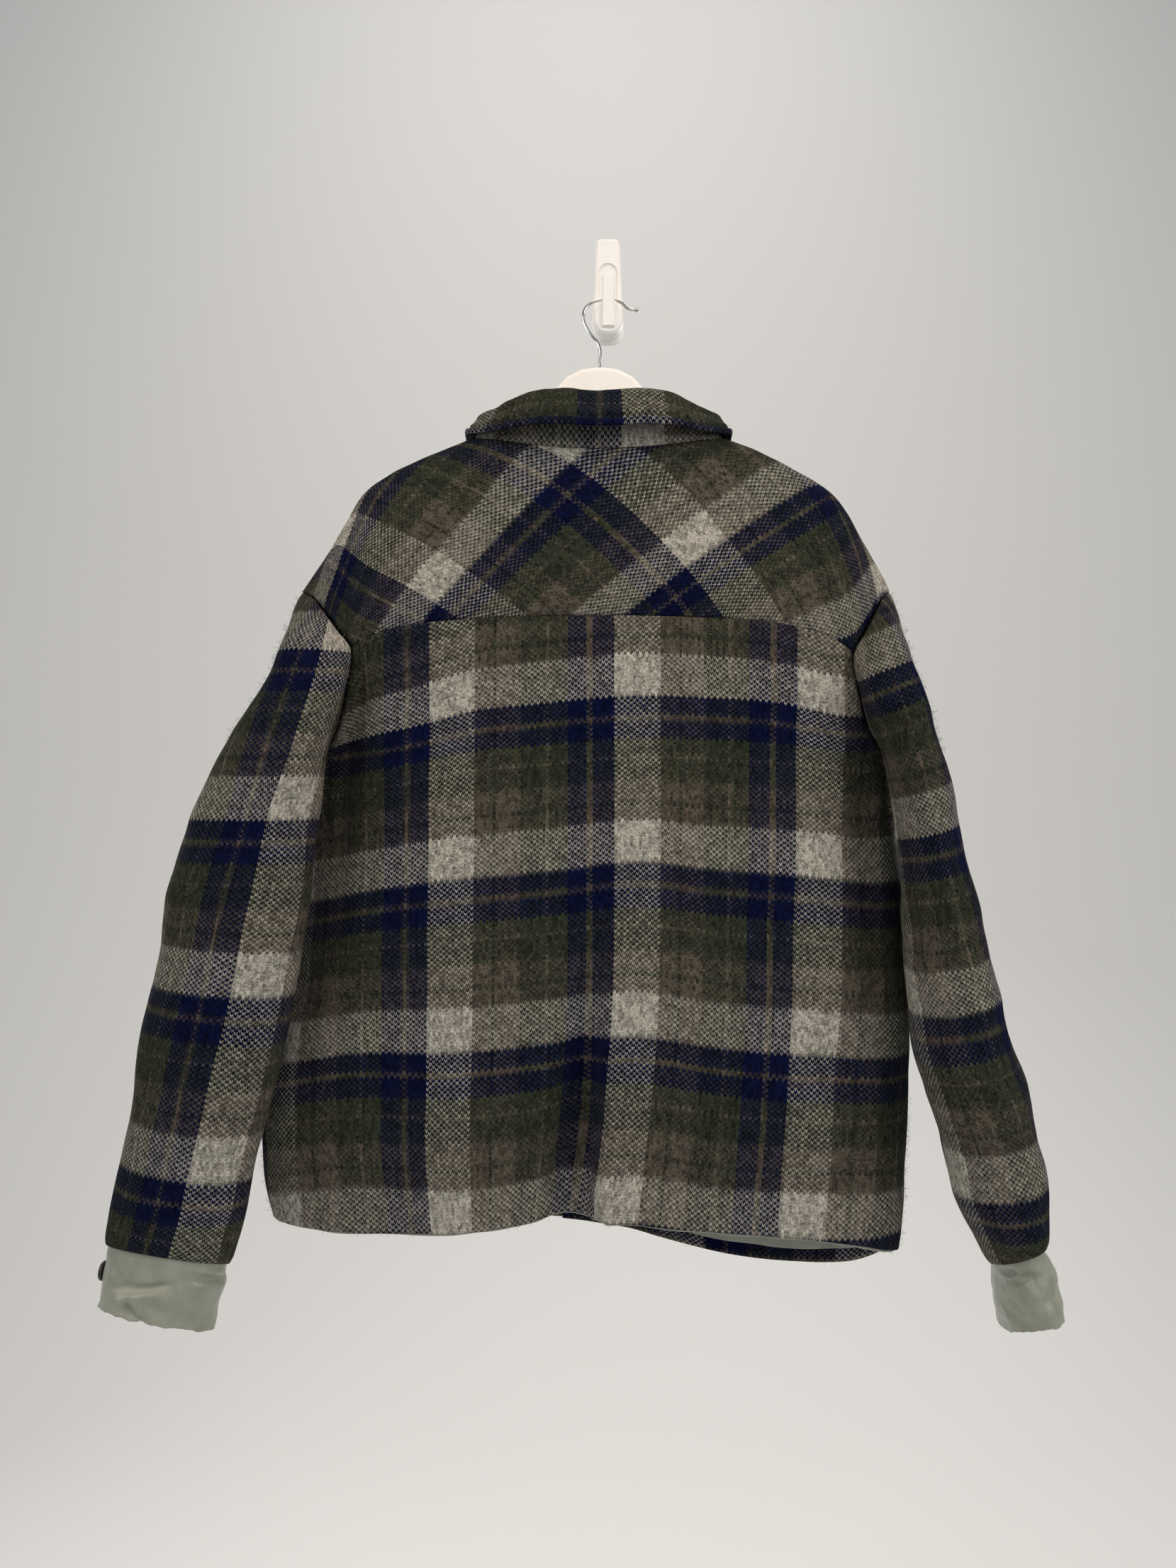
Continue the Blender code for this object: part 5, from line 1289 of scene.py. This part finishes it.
# Collar
# A stand sewn upright into the neck seam, and a fall that rolls over its top, both of the same wool. The
# fall's edge is turned in and held by one row of stitches, so it swells into a soft roll below them.
COLLAR_COLUMNS = ("run", "angle", "stand", "lean", "reach", "drop")
COLLAR = (
    (0.000, 0.0, 0.0460, 0.006, 0.034, 0.034), (0.055, 12.0, 0.0450, 0.006, 0.034, 0.034),
    (0.080, 24.0, 0.0365, 0.008, 0.032, 0.031), (0.100, 40.0, 0.0265, 0.011, 0.028, 0.024),
    (0.120, 62.0, 0.0195, 0.013, 0.024, 0.017), (0.140, 90.0, 0.0175, 0.012, 0.023, 0.015),
    (0.165, 122.0, 0.0200, 0.008, 0.023, 0.023), (0.205, 155.0, 0.0250, 0.005, 0.018, 0.042),
    (0.300, 178.0, 0.0280, 0.003, 0.015, 0.058),
)
STAND_STEPS = 3
STAND_FOOT = 0.0040
FALL_THICK = 0.0036
FALL_STEPS = (1.0, 0.7, 0.35)
ROLL_LOW = (0.0080, 0.00455)
ROLL = ((0.0025, 0.0068), (-0.0018, 0.0052), (-0.0036, 0.0012))
COLLAR_STITCH = 0.0105
STITCH_LONG = 0.0032
STITCH_EVERY = 0.0045
THREAD = (0.030, 0.028, 0.022)
STAND_CHECK = 0.30
FALL_CHECK = 1.05
STAND_FOOT_IN = 0.7
COLLAR_STEPS = (0.0022, 0.0036)
COLLAR_RIPPLES = {
    "collar_stand": ((0.0007, 0.030, 9.7), (0.0004, 0.011, 7.3)),
    "collar_fall": ((0.0007, 0.030, 10.7), (0.0004, 0.011, 8.3)),
}
COLLAR_EDGE = 0.010
COLLAR_FIBRES = 20000.0
STITCH_LINES = np.array((-0.0012, 0.0, 0.0012))
RELIEF_COLUMNS = ("beyond_stitches", "width", "height")
STITCH_RELIEF = ((0.0, 0.0021, -0.0024), (-0.0052, 0.0030, 0.0022), (0.0055, 0.0032, 0.0010))
STITCH_THICK = 0.0007
STITCH_ENDS = 3
THREAD_TWIST = 900.0
# STRAND_SHADE_SHARES: thread colour darkened between the strands and lightened on them, as painted shade and
# painted highlight of the twist.
STRAND_SHADE_SHARES = (0.6, 1.25)
THREAD_GLOSS = (0.7, 0.7)


def cotton_thread(name, colour):
    """Twisted dull sewing thread: painted shade between its strands and painted highlight along them."""
    material, tree, shader = new_material(name)
    twist = add(tree, "ShaderNodeTexWave", {
        "Vector": object_place(tree), "Scale": THREAD_TWIST}, bands_direction="DIAGONAL")
    tones = [tuple(c * share for c in colour) for share in STRAND_SHADE_SHARES]
    uneven_finish(tree, shader, twist.outputs["Fac"], tones, THREAD_GLOSS)
    return material


def stitch_tree():
    """Row of short rounded stitches along a line of points."""
    tree, given, result = new_tree("stitch_row", {
        "Every": "Float", "Long": "Float", "Thick": "Float", "Finish": "Material"})
    line = add(tree, "GeometryNodeMeshToCurve", {"Mesh": given["Geometry"]})
    marks = add(tree, "GeometryNodeCurveToPoints", {
        "Curve": line.outputs["Curve"], "Length": given["Every"]}, mode="LENGTH").outputs
    bead = add(tree, "GeometryNodeMeshUVSphere", {"Segments": 6, "Rings": 5, "Radius": 0.5})
    size = add(tree, "ShaderNodeCombineXYZ", {"X": given["Thick"], "Y": given["Thick"], "Z": given["Long"]})
    place = add(tree, "GeometryNodeInstanceOnPoints", {
        "Points": marks["Points"], "Rotation": marks["Rotation"], "Instance": bead.outputs["Mesh"],
        "Scale": size.outputs["Vector"]})
    return end_tree(tree, given, result, smooth_and_real(tree, place.outputs["Instances"]))


last = len(half + CENTRE_SHARES) - 2
neck_line = [front_net["left"][-1][i] for i in range(last, NECK_COLUMN - 1, -1)]
neck_line += [row[NECK_COLUMN] for row in flap_net["left"][1:-1]]
neck_line += list(back_net[-1][NECK_COLUMN:len(back_columns) - NECK_COLUMN])
neck_line += [row[NECK_COLUMN] for row in flap_net["right"][1:-1]][::-1]
neck_line += [front_net["right"][-1][i] for i in range(NECK_COLUMN, last + 1)]
neck_run = runs(np.array(neck_line)[:, None, :])
neck_run = neck_run - neck_run[len(neck_line) // 2]
stand_net, fall_net = [], []
up, low = np.array((0.0, 0.0, 1.0)), np.array(ROLL_LOW)
for place, at in zip(neck_line, neck_run):
    size = {name: read(COLLAR, COLLAR_COLUMNS, "run", abs(at), name) for name in COLLAR_COLUMNS[1:]}
    turn = math.copysign(math.radians(size["angle"]), at)
    out = np.array((math.sin(turn), -math.cos(turn), 0.0))
    foot = place - up * STAND_FOOT - out * WOOL * STAND_FOOT_IN
    steps = np.linspace(0.0, 1.0, STAND_STEPS + 1)
    stand_net.append([foot] + [place + (up * size["stand"] - out * size["lean"]) * share for share in steps])
    hang = np.array((size["reach"], -size["drop"])) - low
    section = [low + hang * share for share in FALL_STEPS] + [low, *ROLL]
    fall_net.append([stand_net[-1][-1] + out * away + up * rise for away, rise in section])
stand_net, fall_net = (np.array(net).transpose(1, 0, 2) for net in (stand_net, fall_net))
for name, net, wall, check, way, seed in (
        ("collar_stand", stand_net, WOOL, STAND_CHECK, 1.0, 6),
        ("collar_fall", fall_net, FALL_THICK, FALL_CHECK, -1.0, 7)):
    run, wide = both_runs(net)
    rows, cols = lines(0.0, run[-1], COLLAR_STEPS[0]), lines(0.0, wide[-1], COLLAR_STEPS[1])
    if name == "collar_fall":
        rows = np.unique(np.concatenate((rows, COLLAR_STITCH + STITCH_LINES)))
    grid = surface(net, rows, cols, run, wide)
    across, rise = np.meshgrid(cols - wide[len(neck_line) // 2], rows)
    weave = np.stack((across + NAVY_MIDDLE * CHECK_ACROSS, check * CHECK_ALONG + way * rise), axis=2)
    quads, places, points, facing = lay(grid, weave)
    lift = ease(edge_gap(points, quads) / COLLAR_EDGE) * ripples(points, COLLAR_RIPPLES[name])
    if name == "collar_fall":
        beyond, width, height = (column(STITCH_RELIEF, RELIEF_COLUMNS, label) for label in RELIEF_COLUMNS)
        lift = lift + hump((rise - COLLAR_STITCH).reshape(-1, 1) - beyond, width) @ height
    points = points + facing * lift[:, None]
    piece = make_shell(name + "_cloth", points, quads, places, wall, (wool,))
    sew_in(piece, name, COLLAR_FIBRES, seed)
    if name == "collar_fall":
        seam = points.reshape(grid.shape)[np.argmin(np.abs(rows - COLLAR_STITCH)), STITCH_ENDS:-STITCH_ENDS]
stitches = grow("collar_stitches", line_mesh("collar_seam", seam), stitch_tree(), {
    "Every": STITCH_EVERY, "Long": STITCH_LONG, "Thick": STITCH_THICK,
    "Finish": cotton_thread("olive_thread", THREAD)})
stand_for(stitches, "collar_fall")

# Hem lining
# Strips of the sage satin face, sewn just inside the hem of the back and of both fronts, so that a little of
# it shows under the back hem. They hang loosely, with a slightly wavy lower edge.
SATIN = 0.0012
LINING_GAP = 0.0012
LINING_ROWS = 2
BACK_DROP = 0.0025
FRONT_DROP = -0.014
DROP_FADE = 0.5
LAP_COLUMNS = len(CENTRE_SHARES) + 2
LINING_WAVE = 0.0012
WAVES_TO_METRE = 40.0
LINING_RIPPLES = ((0.0009, 0.030, 9.4),)
LINING_EDGE = 0.012
for name, panel_name, net, flip, drop in (
        ("lining_back", "back_panel", back_net, False, BACK_DROP),
        ("lining_front_left", "front_left", front_net["left"][:, :-LAP_COLUMNS], True, FRONT_DROP),
        ("lining_front_right", "front_right", front_net["right"][:, :-LAP_COLUMNS], False, FRONT_DROP)):
    run, wide = both_runs(net)
    tall = run[LINING_ROWS]
    rows, cols = lines(0.0, tall, MESH_STEP), lines(0.0, wide[-1], MESH_STEP)
    grid = surface(net, rows, cols, run, wide)
    quads, places, points, facing = lay(grid, np.stack(np.meshgrid(cols, rows), axis=2), flip)
    wave = np.array([noise.noise(Vector((c * WAVES_TO_METRE, 2.0, 0.5))) for c in cols])
    lower = (1 - ease(rows / (tall * DROP_FADE)))[:, None] * (drop + LINING_WAVE * wave)
    points = points - (unit(grid[1:2] - grid[:1]) * lower[..., None]).reshape(-1, 3)
    loose = np.maximum(ripples(points, LINING_RIPPLES), 0.0) * ease(edge_gap(points, quads) / LINING_EDGE)
    lift, lift_rows, lift_cols = body_lift[panel_name]
    lift = np.array([np.interp(rows, lift_rows, strip) for strip in lift.T]).T
    lift = np.array([np.interp(cols, lift_cols, strip) for strip in lift]).ravel()
    points = points + facing * (lift - WOOL - LINING_GAP - loose)[:, None]
    piece = make_shell(name + "_cloth", points, quads, places, SATIN, (satin,))
    sew_in(piece, name)

# Cuffs
# Plain tubes of the satin face, sewn inside the sleeve hems and hanging out below them. The satin is limp: it
# buckles into small sharp folds near the buttons, and its lower edge is uneven.
CUFFS = {
    "left": (
        (-0.4610, -0.928, -0.3530, -0.948, -0.098, 0.0340, 0.0340),
        (-0.4632, -0.950, -0.3585, -0.968, -0.099, 0.0340, 0.0340),
        (-0.4675, -0.970, -0.3635, -0.993, -0.100, 0.0350, 0.0350),
    ),
    "right": (
        (0.4075, -0.938, 0.3590, -0.955, -0.086, 0.0440, 0.0440),
        (0.4135, -0.962, 0.3620, -0.978, -0.085, 0.0445, 0.0445),
        (0.4180, -0.986, 0.3665, -1.000, -0.084, 0.0455, 0.0455),
    ),
}
CUFF_TUCK = 0.40
LAYER_GAP = 0.0006
CUFF_ROUND = 132
CUFF_CREASES = {
    "left": (
        (-0.4420, -0.9440, -0.3880, -0.9385, 0.0049, 0.0051),
        (-0.3720, -0.9345, -0.3480, -0.9470, 0.0036, 0.0044),
        (-0.4360, -0.9570, -0.4140, -0.9710, 0.0054, 0.0058),
        (-0.3770, -0.9225, -0.3450, -0.9400, 0.0043, -0.0024),
        (-0.3740, -0.9400, -0.3540, -0.9520, 0.0038, -0.0020),
        (-0.4440, -0.9510, -0.3980, -0.9470, 0.0054, -0.0022),
        (-0.4440, -0.9300, -0.4560, -0.9490, 0.0036, -0.0022),
        (-0.3960, -0.9600, -0.3700, -0.9800, 0.0072, 0.0026),
    ),
    "right": (
        (0.3470, -0.9415, 0.3670, -0.9330, 0.0027, 0.0058),
        (0.3610, -0.9440, 0.3770, -0.9315, 0.0032, 0.0048),
        (0.3380, -0.9280, 0.3480, -0.9480, 0.0022, -0.0024),
        (0.3480, -0.9470, 0.3680, -0.9375, 0.0023, -0.0024),
        (0.3800, -0.9280, 0.3840, -0.9480, 0.0067, 0.0037),
        (0.3955, -0.9280, 0.4010, -0.9720, 0.0018, 0.0037),
        (0.3900, -0.9560, 0.3980, -0.9860, 0.0036, -0.0020),
        (0.3650, -0.9580, 0.3760, -0.9900, 0.0081, 0.0027),
    ),
}
CUFF_STEP = 0.0018
CUFF_WEAVE_RADIUS = 0.04
CUFF_FREE = 0.008
CUFF_SEEN = (0.05, 0.40)
CUFF_STRETCH = np.array((1.0, 1.0, 1.4))
CUFF_RIPPLES = ((0.0012, 0.022, 4.9),)
CUFF_FINE = ((0.0005, 0.009, 2.6),)
CUFF_LIFTS = (-0.0060, 0.0030)
CUFF_HEM = 0.018
RUFFLE_COLUMNS = ("height", "waves", "level")
RUFFLES = ((0.0034, 2.2, 4.0), (0.0014, 8.0, 7.0))


def ruffled(angles):
    """Uneven height of a limp hem round a tube, a row for each size of it."""
    total = np.zeros(len(angles))
    for row in RUFFLES:
        height, waves, level = (row[RUFFLE_COLUMNS.index(name)] for name in RUFFLE_COLUMNS)
        places = [Vector((math.cos(a) * waves, math.sin(a) * waves, level)) for a in angles]
        total += height * np.array([noise.noise(place) for place in places])
    return total


for side in ("left", "right"):
    angles = sleeve_angles[side]
    above, hem = (np.array(row) for row in SLEEVES[side][-2:])
    inside = (hem + (above - hem) * CUFF_TUCK, hem)
    net = np.array([section_ring(row, angles, WOOL + 2 * LAYER_GAP) for row in inside]
                   + [section_ring(row, angles, 0.0) for row in CUFFS[side]])
    run = runs(net)
    rows = lines(0.0, run[-1], CUFF_STEP)
    grid = lift_hem(round_surface(net, rows, CUFF_ROUND))
    around = np.linspace(0.0, 2 * math.pi, CUFF_ROUND + 1)
    weave = np.stack(np.meshgrid(around * CUFF_WEAVE_RADIUS, rows), axis=2)
    quads, places, points, facing = lay(grid, weave, side == "left", True)
    down = np.repeat(rows, CUFF_ROUND)
    lift = seen(facing, *CUFF_SEEN) * creases(points, CUFF_CREASES[side])
    lift += ripples(points * CUFF_STRETCH, CUFF_RIPPLES) + ripples(points, CUFF_FINE)
    lift = np.clip(lift, *CUFF_LIFTS) * ease((down - run[1]) / CUFF_FREE)
    points = points + facing * lift[:, None]
    points[:, 2] += ease((down - run[-1] + CUFF_HEM) / CUFF_HEM) * np.tile(ruffled(around[:-1]), len(rows))
    piece = make_shell("cuff_%s_cloth" % side, points, quads, places, SATIN, (satin,))
    sew_in(piece, "cuff_" + side)

# Buttons
# Black four-hole buttons of cast resin with a raised rim: one sewn on each cuff, and a row down the left
# front. Each is held by a few turns of dark thread through its holes and a short thread shank.
PROFILE_COLUMNS = ("radius", "height")
BUTTON_PROFILE = (
    (0.0072, 0.0), (0.0083, 0.0003), (0.0089, 0.0011), (0.0090, 0.0020), (0.0088, 0.0030),
    (0.0082, 0.0038), (0.0074, 0.0040), (0.0066, 0.0036), (0.0060, 0.0030), (0.0030, 0.0027),
)
BUTTON_SIDES = 48
HOLE_PROFILE = ((0.0009, -0.001), (0.0009, 0.006))
HOLE_SIDES = 14
HOLE_AWAY = 0.0021
SHANK_PROFILE = ((0.0013, -0.0016), (0.0013, 0.0020))
SHANK_SIDES = 12
STRAND_REACH = 0.78
STRAND_APART = 0.70
STRAND_LOW = 0.0024
STRAND_RISE = 0.0011
STRAND_RADIUS = 0.0005
STRAND_STEPS = 7
STRAND_SIDES = 8
BUTTON_SHARP = math.radians(38.0)
RESIN_TONES = ((0.006, 0.006, 0.007), (0.022, 0.020, 0.019))
RESIN_GLOSS = (0.22, 0.40)
RESIN_SWIRL = 260.0
BLACK_THREAD = (0.016, 0.015, 0.014)
FRONT_BUTTONS = 6
FRONT_BUTTON_TOP = -0.305
FRONT_BUTTON_STEP = 0.108
FRONT_BUTTON_SHARE = 0.2
FRONT_BUTTON_GAP = 0.0009


def black_resin():
    """Cast resin, near black, with faint swirls and a dull polish."""
    material, tree, shader = new_material("black_resin")
    swirl = speckle(tree, object_place(tree), RESIN_SWIRL, distortion=1.2)
    uneven_finish(tree, shader, swirl.outputs["Fac"], RESIN_TONES, RESIN_GLOSS)
    return material


def loft(rings):
    """Points and faces of a closed form through rings of points."""
    count = len(rings[0])
    faces = []
    for r in range(len(rings) - 1):
        for k in range(count):
            m = (k + 1) % count
            faces.append((r * count + k, r * count + m, (r + 1) * count + m, (r + 1) * count + k))
    faces.append(tuple(range(count))[::-1])
    faces.append(tuple(range((len(rings) - 1) * count, len(rings) * count)))
    return np.concatenate(rings), faces


def turned(profile, sides, middle=(0.0, 0.0)):
    """Closed form turned about an upright axis, from its profile."""
    turns = np.linspace(0.0, 2 * math.pi, sides, endpoint=False)
    flat = np.stack((np.cos(turns), np.sin(turns), 0.0 * turns), axis=1)
    rows = (dict(zip(PROFILE_COLUMNS, row)) for row in profile)
    return loft([flat * row["radius"] + np.array((*middle, row["height"])) for row in rows])


def joined(forms):
    """Points and faces of several forms as one."""
    points, faces = np.zeros((0, 3)), []
    for more, quads in forms:
        faces += [tuple(k + len(points) for k in face) for face in quads]
        points = np.concatenate((points, more))
    return points, faces


def plain_mesh(name, points, faces):
    """Mesh object of points and faces."""
    mesh = bpy.data.meshes.new(name)
    mesh.from_pydata(points.tolist(), [], faces)
    return put(name, mesh)


def four_hole_button():
    """One button lying on the XY plane, its face towards +Z: points, faces, and how many faces are resin."""
    body = plain_mesh("button_body", *turned(BUTTON_PROFILE, BUTTON_SIDES))
    corners = [math.pi / 4 + k * math.pi / 2 for k in range(4)]
    middles = [(HOLE_AWAY * math.cos(angle), HOLE_AWAY * math.sin(angle)) for angle in corners]
    holes = [turned(HOLE_PROFILE, HOLE_SIDES, middle) for middle in middles]
    tool = plain_mesh("button_holes", *joined(holes))
    cut = body.modifiers.new("holes", "BOOLEAN")
    cut.operation = "DIFFERENCE"
    cut.solver = "EXACT"
    cut.object = tool
    bpy.context.view_layer.update()
    mesh = bpy.data.meshes.new_from_object(body.evaluated_get(bpy.context.evaluated_depsgraph_get()))
    forms = [(np.array([v.co for v in mesh.vertices]), [tuple(p.vertices) for p in mesh.polygons])]
    for thing in (body, tool):
        bpy.data.objects.remove(thing)
    turns = np.linspace(0.0, 2 * math.pi, STRAND_SIDES, endpoint=False)
    ring = np.stack((0 * turns, np.cos(turns), np.sin(turns)), axis=1) * STRAND_RADIUS
    share = np.linspace(0.0, 1.0, STRAND_STEPS)
    for side in (-STRAND_APART, STRAND_APART):
        x, y = HOLE_AWAY * STRAND_REACH * (2 * share - 1), HOLE_AWAY * side + 0.0 * share
        path = np.stack((x, y, STRAND_LOW + STRAND_RISE * np.sin(math.pi * share)), axis=1)
        forms.append(loft([place + ring for place in path]))
    forms.append(turned(SHANK_PROFILE, SHANK_SIDES))
    return *joined(forms), len(forms[0][1])


button_points, button_faces, resin_faces = four_hole_button()
button_kinds = [int(k >= resin_faces) for k in range(len(button_faces))]
button_materials = (black_resin(), cotton_thread("black_thread", BLACK_THREAD))


def sew_button(node, place, axis):
    """One button at a place, its face along an axis."""
    side = unit(np.cross(axis, np.array((0.0, 0.0, 1.0))))
    turn = np.stack((side, np.cross(axis, side), axis))
    piece = plain_mesh(node + "_resin", place + button_points @ turn, button_faces)
    for material in button_materials:
        piece.data.materials.append(material)
    piece.data.polygons.foreach_set("material_index", button_kinds)
    piece.data.polygons.foreach_set("use_smooth", [True] * len(button_faces))
    piece.data.set_sharp_from_angle(angle=BUTTON_SHARP)
    stand_for(piece, node)


for side, at, level in (("left", 0.0, (-1.0, 0.0, 0.0)), ("right", 1.5 * math.pi, (0.0, 1.0, 0.0))):
    upper, lower = (section_ring(row, np.array((at,)), 0.0)[0] for row in CUFFS[side][:2])
    down = unit(lower - upper)
    axis = unit(np.array(level) - down * (np.array(level) @ down))
    sew_button("cuff_button_" + side, (upper + lower) / 2 + axis * LAYER_GAP, axis)
lap_inner, lap_outer = (front_net["left"][:, len(half) + k] for k in (0, 1))
spine = lap_inner + (lap_outer - lap_inner) * FRONT_BUTTON_SHARE
for k in range(FRONT_BUTTONS):
    z = FRONT_BUTTON_TOP - FRONT_BUTTON_STEP * k
    x, y = (np.interp(z, spine[:, 2], spine[:, n]) for n in (0, 1))
    sew_button("front_button_%d" % (k + 1), np.array((x, y + FRONT_BUTTON_GAP, z)), np.array((0.0, 1.0, 0.0)))

# Hanger
# A flat white moulded hanger with a domed middle; its arms carry the yoke, and the wire hook is set in the
# dome. The solid has the true shape, so it stays, with a slightly warm moulded skin.
HANGER_WHITE = (0.86, 0.82, 0.77)
HANGER_ROUGHNESS = 0.46
HANGER_GRAIN = 700.0
new_skin("hanger", moulded_plastic("hanger_plastic", HANGER_WHITE, HANGER_ROUGHNESS, HANGER_GRAIN))

# Studio
# Plain pale sweep far behind and below the jacket, large soft lights, and the camera level with the chest, as
# far from the wall as the photograph was taken.
CAMERA_PLACE = (-0.0198, -1.18, -0.492)
FOCAL_PIXELS = 1661.4
IMAGE_HEIGHT = 2212
SENSOR_HEIGHT = 36.0
SWEEP_HALF = 9.0
SWEEP_FRONT = -6.0
SWEEP_FLOOR = -2.3
SWEEP_TOP = 5.0
SWEEP_BEND_FROM = 2.0
SWEEP_RADIUS = 2.0
SWEEP_FINISH = {"Base Color": (0.86, 0.85, 0.83, 1.0), "Roughness": 0.9}
LIGHT_COLUMNS = ("name", "place", "aim", "size", "power", "tint")
LIGHTS = (
    ("key", (-2.0, -1.5, 0.9), (0.0, -0.1, -0.55), 1.4, 33.0, (1.0, 0.965, 0.90)),
    ("front", (0.2, -3.2, -0.3), (0.0, -0.1, -0.6), 1.6, 15.0, (0.92, 0.97, 1.0)),
    ("right", (2.0, -1.5, 0.5), (0.1, -0.1, -0.6), 1.4, 39.0, (1.0, 0.965, 0.90)),
    ("top", (0.0, -0.9, 2.0), (0.0, -0.1, -0.2), 0.9, 17.0, (1.0, 0.70, 0.40)),
    ("back", (0.9, 2.6, 1.2), (0.0, 0.0, -0.5), 2.4, 26.0, (1.0, 1.0, 1.0)),
    ("left_back", (-1.7, 1.3, -0.2), (-0.2, 0.0, -0.6), 1.2, 12.0, (0.95, 0.98, 1.0)),
    ("sweep", (0.0, 1.6, 3.2), (0.0, 4.0, -0.4), 3.0, 42.0, (1.0, 0.96, 0.90)),
)
SKY = {"Color": (0.88, 0.93, 1.0, 1.0), "Strength": 0.29}


def sweep_backdrop():
    """Floor that curves up into a wall, wide enough for every view."""
    profile = [(SWEEP_FRONT, SWEEP_FLOOR), (SWEEP_BEND_FROM, SWEEP_FLOOR)]
    for angle in np.linspace(0.1, math.pi / 2, 14):
        rise = SWEEP_RADIUS * (1 - math.cos(angle))
        profile.append((SWEEP_BEND_FROM + SWEEP_RADIUS * math.sin(angle), SWEEP_FLOOR + rise))
    profile.append((SWEEP_BEND_FROM + SWEEP_RADIUS, SWEEP_TOP))
    points = np.array([(x, y, z) for y, z in profile for x in (-SWEEP_HALF, SWEEP_HALF)])
    faces = [(2 * k, 2 * k + 1, 2 * k + 3, 2 * k + 2) for k in range(len(profile) - 1)]
    sweep = plain_mesh("sweep", points, faces)
    sweep.data.polygons.foreach_set("use_smooth", [True] * len(faces))
    sweep.data.materials.append(new_material("pale_sweep", SWEEP_FINISH)[0])
    return sweep


camera = put("camera", bpy.data.cameras.new("camera"))
camera.data.sensor_fit = "VERTICAL"
camera.data.sensor_height = SENSOR_HEIGHT
camera.data.lens = SENSOR_HEIGHT * FOCAL_PIXELS / IMAGE_HEIGHT
camera.data.clip_start = 0.02
camera.location = CAMERA_PLACE
camera.rotation_euler = (math.pi / 2, 0.0, 0.0)
bpy.context.scene.camera = camera
sweep_backdrop()
for row in LIGHTS:
    light = dict(zip(LIGHT_COLUMNS, row))
    lamp = put(light["name"], bpy.data.lights.new(light["name"], "AREA"))
    lamp.data.size = light["size"]
    lamp.data.energy = light["power"]
    lamp.data.color = light["tint"]
    lamp.location = light["place"]
    aim = Vector(light["aim"]) - Vector(light["place"])
    lamp.rotation_euler = aim.to_track_quat("-Z", "Y").to_euler()
world = bpy.data.worlds.new("studio")
world.use_nodes = True
for label, value in SKY.items():
    world.node_tree.nodes["Background"].inputs[label].default_value = value
bpy.context.scene.world = world
bpy.context.scene.view_settings.view_transform = "Standard"
